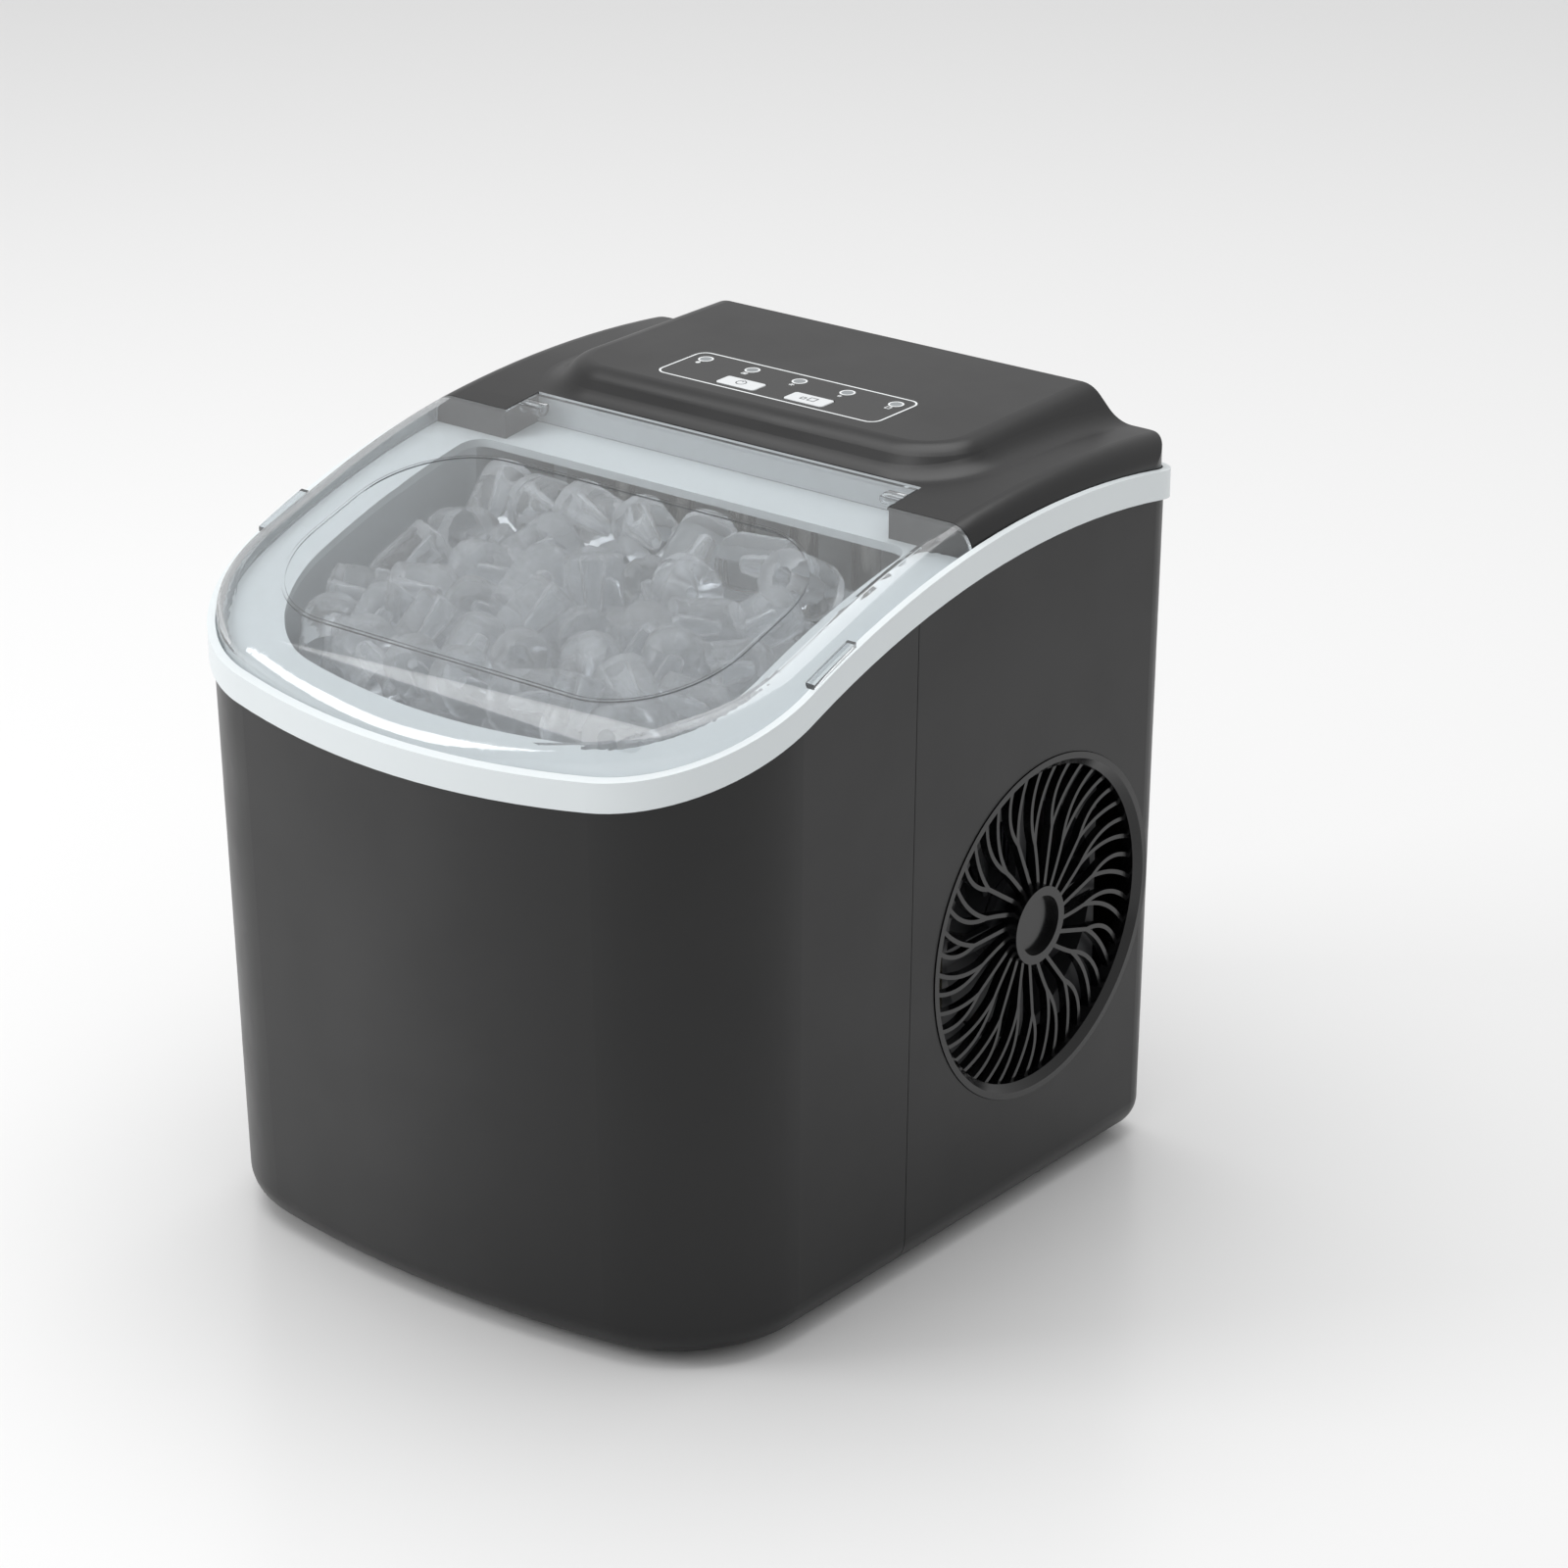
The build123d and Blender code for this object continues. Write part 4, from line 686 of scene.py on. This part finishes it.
@dataclass
class ControlPanel:
    """The white outline, the lamp rings and the marks printed on the panel and keys.

    Lengths are in metres on the panel's own plane, with its origin at the panel's middle.
    """

    finishes: Finishes
    tilt: float = math.radians(1.2)
    print_thickness: float = 0.07 * MM
    print_sink: float = 0.02 * MM
    outline_line: float = 0.75 * MM
    outline_inset: float = 0.15 * MM
    outline_corner: float = 4.6 * MM
    ring_outer: float = 2.9 * MM
    ring_inner: float = 2.25 * MM
    lamp_row: float = 7.4 * MM
    lamp_pitch: float = 21.65 * MM
    mark_drop: float = 4.6 * MM
    mark_line: float = 0.35 * MM
    mark_size: float = 1.15 * MM
    key_line: float = 0.4 * MM
    key_half_depth: float = 4.0 * MM
    power_outer: float = 2.1 * MM
    power_gap: float = 0.5 * MM
    power_bar: float = 1.9 * MM
    power_bar_y: float = 1.5 * MM
    small_square: Point = (-2.2 * MM, -0.5 * MM, 1.1 * MM)
    large_square: Point = (1.6 * MM, 0.0, 1.7 * MM)
    marks: Tuple[Icon, ...] = (
        Icon.DROP,
        Icon.FULL_BIN,
        Icon.RUN,
        Icon.SMALL_ICE,
        Icon.LARGE_ICE,
    )

    def build(self) -> None:
        """Print the panel and both keys."""
        low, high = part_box("panel_overlay")
        self.centre_x = (low.x + high.x) / 2
        self.centre_y = (low.y + high.y) / 2
        self.top_z = high.z - (high.y - self.centre_y) * math.tan(self.tilt)
        width, depth = high.x - low.x, (high.y - low.y) / math.cos(self.tilt)
        flats = [self.outline(width, depth)]
        for index, icon in enumerate(self.marks):
            x = (index - (len(self.marks) - 1) / 2) * self.lamp_pitch
            flats.append(self.ring(x, self.lamp_row, self.ring_outer, self.ring_inner))
            flats += self.mark(icon, x, self.lamp_row - self.mark_drop)
        printed = self.lay(flats, "panel_print", self.top_z)
        dress(printed, self.finishes.get(Finishes.white_print))
        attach(printed, "chassis")
        LOG.info("panel_print has %d marks", len(flats))
        self.print_key("power_key", self.power_mark)
        self.print_key("size_key", self.size_mark)

    def outline(self, width: float, depth: float) -> bpy.types.Object:
        """A rounded rectangle drawn as a thin line round the panel."""
        half_x, half_y = width / 2 - self.outline_inset, depth / 2 - self.outline_inset
        sheet = self.rectangle(0, 0, half_x, half_y)
        start_editing(sheet)
        bpy.ops.mesh.select_all(action="SELECT")
        bpy.ops.mesh.bevel(
            offset=self.outline_corner, segments=8, affect="VERTICES", clamp_overlap=False
        )
        self.hollow(self.outline_line)
        return sheet

    def rectangle(self, x: float, y: float, half_x: float, half_y: float) -> bpy.types.Object:
        """A flat rectangle about a point of the panel."""
        clear_selection()
        bpy.ops.mesh.primitive_plane_add(size=2.0, location=(0, 0, 0))
        sheet = bpy.context.object
        start_editing(sheet)
        bpy.ops.mesh.select_all(action="SELECT")
        bpy.ops.transform.resize(value=(half_x, half_y, 1))
        bpy.ops.transform.translate(value=(x, y, 0))
        return sheet

    def disc(self, x: float, y: float, radius: float, sides: int = 28) -> bpy.types.Object:
        """A flat disc about a point of the panel."""
        clear_selection()
        bpy.ops.mesh.primitive_circle_add(
            vertices=sides, radius=radius, fill_type="NGON", location=(0, 0, 0)
        )
        sheet = bpy.context.object
        start_editing(sheet)
        bpy.ops.mesh.select_all(action="SELECT")
        bpy.ops.transform.translate(value=(x, y, 0))
        return sheet

    def hollow(self, line: float) -> None:
        """Inset the faces in edit mode and take out the middle, which leaves a line."""
        bpy.ops.mesh.select_mode(type="FACE")
        bpy.ops.mesh.select_all(action="SELECT")
        bpy.ops.mesh.inset(thickness=line, depth=0)
        bpy.ops.mesh.delete(type="FACE")

    def ring(self, x: float, y: float, outer: float, inner: float) -> bpy.types.Object:
        """A printed ring."""
        sheet = self.disc(x, y, outer)
        self.hollow(outer - inner)
        return sheet

    def bar(self, x: float, y: float, length: float, turn: float) -> bpy.types.Object:
        """A printed bar of the line's width, turned about its middle."""
        sheet = self.rectangle(0, 0, length / 2, self.mark_line / 2)
        bpy.ops.mesh.select_all(action="SELECT")
        bpy.ops.transform.rotate(
            value=-turn, orient_axis="Z", center_override=(0.0, 0.0, 0.0)
        )
        bpy.ops.transform.translate(value=(x, y, 0))
        return sheet

    def mark(self, icon: Icon, x: float, y: float) -> List[bpy.types.Object]:
        """The mark of one indicator.

        Args:
            icon: which mark.
            x: its place across the panel.
            y: its place up the panel.

        Returns:
            The flat pieces of the mark.
        """
        size = self.mark_size
        if icon is Icon.DROP:
            sheet = self.disc(x, y, size * 0.8)
            pick(Pick.VERTICES, lambda v: v.co.y > y + size * 0.78)
            bpy.ops.transform.translate(value=(0, size * 0.9, 0))
            return [sheet]
        if icon is Icon.FULL_BIN:
            frame_piece = self.rectangle(x, y, size, size * 0.8)
            self.hollow(self.mark_line)
            return [frame_piece, self.rectangle(x, y, size * 0.4, size * 0.3)]
        if icon is Icon.RUN:
            return [self.bar(x, y, 2 * size, math.radians(turn)) for turn in (0, 60, 120)]
        if icon is Icon.SMALL_ICE:
            small = self.rectangle(x, y, size * 0.6, size * 0.6)
            self.hollow(self.mark_line)
            return [small]
        large = self.rectangle(x, y, size, size)
        self.hollow(self.mark_line)
        return [large]

    def power_mark(self) -> List[bpy.types.Object]:
        """A ring crossed by a bar at its top."""

        def at_top(face: Any) -> bool:
            middle = face.calc_center_median()
            return abs(middle.x) < self.power_gap and middle.y > 0

        ring = self.ring(0, 0, self.power_outer, self.power_outer - self.key_line)
        pick(Pick.FACES, at_top)
        bpy.ops.mesh.delete(type="FACE")
        return [ring, self.bar(0, self.power_bar_y, self.power_bar, math.radians(90))]

    def size_mark(self) -> List[bpy.types.Object]:
        """A small square beside a large one."""
        squares = []
        for x, y, half in (self.small_square, self.large_square):
            squares.append(self.rectangle(x, y, half, half))
            self.hollow(self.key_line)
        return squares

    def lay(
        self, flats: Sequence[bpy.types.Object], name: str, top_z: float
    ) -> bpy.types.Object:
        """Join flat pieces, give them the ink's thickness and lay them on the panel.

        Args:
            flats: flat pieces on the plane Z = 0, about the panel's middle.
            name: the name of the print.
            top_z: height of the surface under the panel's middle.

        Returns:
            The print.
        """
        printed = join(flats, name)
        start_editing(printed)
        bpy.ops.mesh.select_all(action="SELECT")
        bpy.ops.mesh.normals_make_consistent(inside=False)
        pick(Pick.FACES, lambda f: f.normal.z < 0)
        bpy.ops.mesh.flip_normals()
        bpy.ops.mesh.select_all(action="SELECT")
        bpy.ops.transform.translate(value=(0, 0, -self.print_sink))
        clear_selection()
        printed.select_set(True)
        bpy.context.view_layer.objects.active = printed
        ink = printed.modifiers.new("ink", "SOLIDIFY")
        ink.thickness = self.print_thickness
        ink.offset = 1
        bpy.ops.object.modifier_apply(modifier=ink.name)
        printed.rotation_euler = (self.tilt, 0, 0)
        printed.location = (self.centre_x, self.centre_y, top_z)
        rest_at_origin(printed)
        return printed

    def print_key(self, node: str, draw: Callable[[], List[bpy.types.Object]]) -> None:
        """Print a key's mark, which moves with the key.

        Args:
            node: the key.
            draw: makes the flat pieces of its mark.
        """
        low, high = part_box(node)
        key_y = (low.y + high.y) / 2
        printed = join(draw(), f"{node}_mark")
        printed.location = ((low.x + high.x) / 2 - self.centre_x, key_y - self.centre_y, 0)
        rest_at_origin(printed)
        key_top = high.z - self.key_half_depth * math.tan(self.tilt)
        height = key_top + (self.centre_y - key_y) * math.tan(self.tilt)
        printed = self.lay([printed], f"{node}_mark", height)
        dress(printed, self.finishes.get(Finishes.dark_print))
        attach(printed, node)
        LOG.info("%s is printed", printed.name)


# --------------------------------------------------------------------- the hinge facing
@dataclass
class HingeFacing:
    """The pale strip on the wall of the cover's notch, seen through the lid's tongue."""

    finishes: Finishes
    half_width: float = 86.5 * MM
    front_y: float = 34.81 * MM
    rear_y: float = 34.9 * MM
    low_z: float = 259.4 * MM
    top_z: float = 272.0 * MM

    def build(self) -> None:
        """Make the strip and fix it to the cover."""
        clear_selection()
        middle = (0, (self.front_y + self.rear_y) / 2, (self.low_z + self.top_z) / 2)
        bpy.ops.mesh.primitive_cube_add(size=1.0, location=middle)
        strip = bpy.context.object
        strip.name = "hinge_facing"
        strip.scale = (
            2 * self.half_width,
            self.rear_y - self.front_y,
            self.top_z - self.low_z,
        )
        rest_at_origin(strip)
        dress(strip, self.finishes.get(Finishes.liner_grey))
        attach(strip, "chassis")
        LOG.info("hinge_facing is fixed")


# ------------------------------------------------------------------------------ the ice
@dataclass
class IceHeap:
    """Hollow bullets of ice, heaped in the basket to just under the lid."""

    finishes: Finishes
    radius: float = 11.0 * MM
    length: float = 27.0 * MM
    hole_radius: float = 4.2 * MM
    hole_depth: float = 17.0 * MM
    dome: float = 7.5 * MM
    lip: float = 1.2 * MM
    lip_depth: float = 0.8 * MM
    hole_end_inset: float = 0.8 * MM
    hole_end_share: float = 0.6
    sides: int = 14
    count: int = 215
    room: float = 12.4 * MM
    floor_z: float = 125.5 * MM
    half_width: float = 82.0 * MM
    front_y: float = -102.5 * MM
    rear_y: float = -5.0 * MM
    corner: float = 30.0 * MM
    top_front: float = 228.0 * MM
    top_slope: float = 0.31
    shoulder_x: float = 60.0 * MM
    shoulder_fall: float = 0.3
    drop_low: float = 0.1
    drop_height: float = 110.0 * MM
    rounds: int = 320
    sink: float = 0.18 * MM
    stiffness: float = 0.32
    spill: float = 7.0 * MM
    rear_spill: float = 11.0 * MM
    rim_z: float = 206.0 * MM
    rim_blend: float = 10.0 * MM
    sensor_y: float = -40.0 * MM
    roll: float = 0.4
    sizes: Tuple[float, float] = (0.9, 1.06)
    lengths: Tuple[float, float] = (0.86, 1.08)
    smooth_angle: float = math.radians(48)
    seed: int = 11

    def bullet(self) -> bpy.types.Object:
        """Model one piece of ice: a domed cylinder with the hole its finger left."""
        clear_selection()
        bpy.ops.mesh.primitive_cylinder_add(
            vertices=self.sides, radius=self.radius, depth=self.length, location=(0, 0, 0)
        )
        piece = bpy.context.object
        top = self.length / 2
        start_editing(piece)
        pick(Pick.EDGES, lambda e: edge_level(e) > top - MM)
        bpy.ops.mesh.bevel(offset=self.dome, segments=4, affect="EDGES", clamp_overlap=False)
        pick(Pick.FACES, lambda f: f.normal.z < -0.9)
        bpy.ops.mesh.inset(thickness=self.lip, depth=self.lip_depth)
        bpy.ops.mesh.inset(thickness=self.radius - self.hole_radius - self.lip, depth=0)
        bpy.ops.mesh.extrude_region_move(
            TRANSFORM_OT_translate={"value": (0, 0, self.hole_depth)}
        )
        bpy.ops.transform.resize(value=(self.hole_end_share, self.hole_end_share, 1))
        bpy.ops.mesh.inset(thickness=self.hole_end_inset, depth=-self.lip)
        bpy.ops.mesh.select_all(action="SELECT")
        bpy.ops.mesh.normals_make_consistent(inside=False)
        clear_selection()
        piece.select_set(True)
        bpy.context.view_layer.objects.active = piece
        bpy.ops.object.shade_smooth_by_angle(angle=self.smooth_angle)
        return piece

    def ceiling(self, x: np.ndarray, y: np.ndarray) -> np.ndarray:
        """Highest level the heap may reach over a place in the bin."""
        slope = self.top_front + (y - self.front_y) * self.top_slope
        fall = np.maximum(0.0, np.abs(x) - self.shoulder_x) * self.shoulder_fall
        return slope - fall

    def settle(self) -> np.ndarray:
        """Let the pieces sink and push each other apart until they lie in the basket.

        Returns:
            The middle of each piece.
        """
        draw = np.random.default_rng(self.seed)
        free_y = self.rear_y - self.front_y - 2 * self.room
        spots = np.column_stack(
            (
                draw.uniform(-1, 1, self.count) * (self.half_width - self.room),
                self.front_y + self.room + draw.uniform(0, 1, self.count) * free_y,
                self.floor_z + draw.uniform(self.drop_low, 1, self.count) * self.drop_height,
            )
        )
        for _ in range(self.rounds):
            spots[:, 2] -= self.sink
            gaps = spots[:, None, :] - spots[None, :, :]
            reach = np.linalg.norm(gaps, axis=2) + np.eye(self.count)
            overlap = np.maximum(0.0, 2 * self.room - reach) * (1 - np.eye(self.count))
            spots += (gaps / reach[:, :, None] * overlap[:, :, None]).sum(axis=1) * self.stiffness
            self.keep_inside(spots)
        return spots

    def keep_inside(self, spots: np.ndarray) -> None:
        """Push pieces back inside the basket's walls and under the heap's top."""
        over_rim = np.clip((spots[:, 2] - self.rim_z) / self.rim_blend, 0.0, 1.0)
        spill = over_rim * self.spill * (spots[:, 1] < self.sensor_y)
        limit_x = self.half_width - self.room + spill
        low_y = self.front_y + self.room - spill
        high_y = self.rear_y - self.room + over_rim * self.rear_spill
        spots[:, 0] = np.clip(spots[:, 0], -limit_x, limit_x)
        spots[:, 1] = np.clip(spots[:, 1], low_y, high_y)
        bend = self.corner - self.room
        past_x = np.maximum(0.0, np.abs(spots[:, 0]) - (limit_x - bend))
        past_y = np.maximum(0.0, (low_y + bend) - spots[:, 1])
        out = np.hypot(past_x, past_y)
        pull = np.where(out > bend, bend / np.maximum(out, 1e-9), 1.0)
        corner = (past_x > 0) & (past_y > 0)
        side = np.sign(spots[:, 0])
        spots[:, 0] = np.where(corner, side * (limit_x - bend + past_x * pull), spots[:, 0])
        spots[:, 1] = np.where(corner, low_y + bend - past_y * pull, spots[:, 1])
        top = self.ceiling(spots[:, 0], spots[:, 1]) - self.room
        spots[:, 2] = np.clip(spots[:, 2], self.floor_z + self.room, top)

    def build(self) -> None:
        """Copy the piece of ice to every place of the heap."""
        model = self.bullet()
        draw = random.Random(self.seed)
        pieces = []
        for spot in self.settle():
            clear_selection()
            model.select_set(True)
            bpy.context.view_layer.objects.active = model
            bpy.ops.object.duplicate(linked=False)
            copy = bpy.context.object
            copy.location = Vector(spot.tolist())
            copy.rotation_euler = Euler(
                (
                    math.acos(draw.uniform(-1, 1)),
                    draw.uniform(-self.roll, self.roll),
                    draw.uniform(0, 2 * math.pi),
                )
            )
            size = draw.uniform(*self.sizes)
            copy.scale = (size, size, size * draw.uniform(*self.lengths))
            pieces.append(copy)
        clear_selection()
        model.select_set(True)
        bpy.ops.object.delete()
        heap = join(pieces, "ice_heap")
        rest_at_origin(heap)
        dress(heap, self.finishes.get(Finishes.ice))
        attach(heap, "basket")
        LOG.info("ice_heap holds %d pieces", len(pieces))


# --------------------------------------------------------------------------- the studio
@dataclass(frozen=True)
class Softbox:
    """A rectangular studio light."""

    name: str
    place: Point
    aim: Point
    width: float
    depth: float
    watts: float
    colour: str = "#ffffff"


@dataclass
class Studio:
    """Pale floor, soft lights and the camera."""

    camera_place: Point = (0.9803, -1.1605, 0.7758)
    camera_aim: Point = (0.0396, 0.019, 0.1559)
    lens_mm: float = 106.0
    sensor_mm: float = 36.0
    floor_size: float = 14.0
    sky: float = 0.6
    lights: Tuple[Softbox, ...] = (
        Softbox("overhead", (-0.3, 0.2, 2.2), (0, 0, 0), 2.4, 1.8, 28),
        Softbox("front_left", (-1.3, -1.3, 0.9), (0, -0.1, 0.12), 0.8, 0.8, 11),
    )
    def build_camera(self) -> None:
        """Place the camera."""
        data = bpy.data.cameras.new("camera")
        data.lens = self.lens_mm
        data.sensor_width = self.sensor_mm
        data.clip_start, data.clip_end = 0.05, 60.0
        camera = bpy.data.objects.new("camera", data)
        bpy.context.scene.collection.objects.link(camera)
        camera.location = self.camera_place
        aim = Vector(self.camera_aim) - Vector(self.camera_place)
        camera.rotation_euler = aim.to_track_quat("-Z", "Y").to_euler()
        bpy.context.scene.camera = camera
        LOG.info("camera is placed")

    def build_floor(self) -> None:
        """Lay a pale, slightly glossy floor."""
        clear_selection()
        bpy.ops.mesh.primitive_plane_add(size=self.floor_size, location=(0, 0, 0))
        floor = bpy.context.object
        floor.name = "floor"
        finish = MouldedPlastic(
            "pale_floor",
            "#f6f6f6",
            0.26,
            grain_depth_mm=0.0,
            flow_share=0.0,
            shade_share=0.0,
        )
        dress(floor, finish.build())
        LOG.info("floor is laid")

    def build_lights(self) -> None:
        """Hang the softboxes."""
        for box in self.lights:
            data = bpy.data.lights.new(box.name, "AREA")
            data.shape = "RECTANGLE"
            data.size, data.size_y = box.width, box.depth
            data.energy = box.watts
            data.color = linear_colour(box.colour)[:3]
            lamp = bpy.data.objects.new(box.name, data)
            bpy.context.scene.collection.objects.link(lamp)
            lamp.location = box.place
            aim = Vector(box.aim) - Vector(box.place)
            lamp.rotation_euler = aim.to_track_quat("-Z", "Y").to_euler()
            LOG.info("light %s is hung", box.name)

    def build_room(self) -> None:
        """Fill the room with the same even light in every direction."""
        world = bpy.data.worlds.new("room")
        world.use_nodes = True
        backdrop = world.node_tree.nodes["Background"]
        backdrop.inputs["Color"].default_value = (1, 1, 1, 1)
        backdrop.inputs["Strength"].default_value = self.sky
        bpy.context.scene.world = world
        bpy.context.scene.view_settings.view_transform = "Standard"
        LOG.info("room is lit")


def main() -> None:
    """Build the machine's look around its CAD frame."""
    logging.basicConfig(level=logging.INFO, format="%(name)s: %(message)s")
    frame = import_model()
    finishes = Finishes()
    studio = Studio()
    studio.build_camera()
    studio.build_floor()
    studio.build_lights()
    studio.build_room()
    Machine(finishes, frame["nodes"]).build()
    ControlPanel(finishes).build()
    HingeFacing(finishes).build()
    IceHeap(finishes).build()
    clear_selection()


if __name__ == "__main__":
    main()
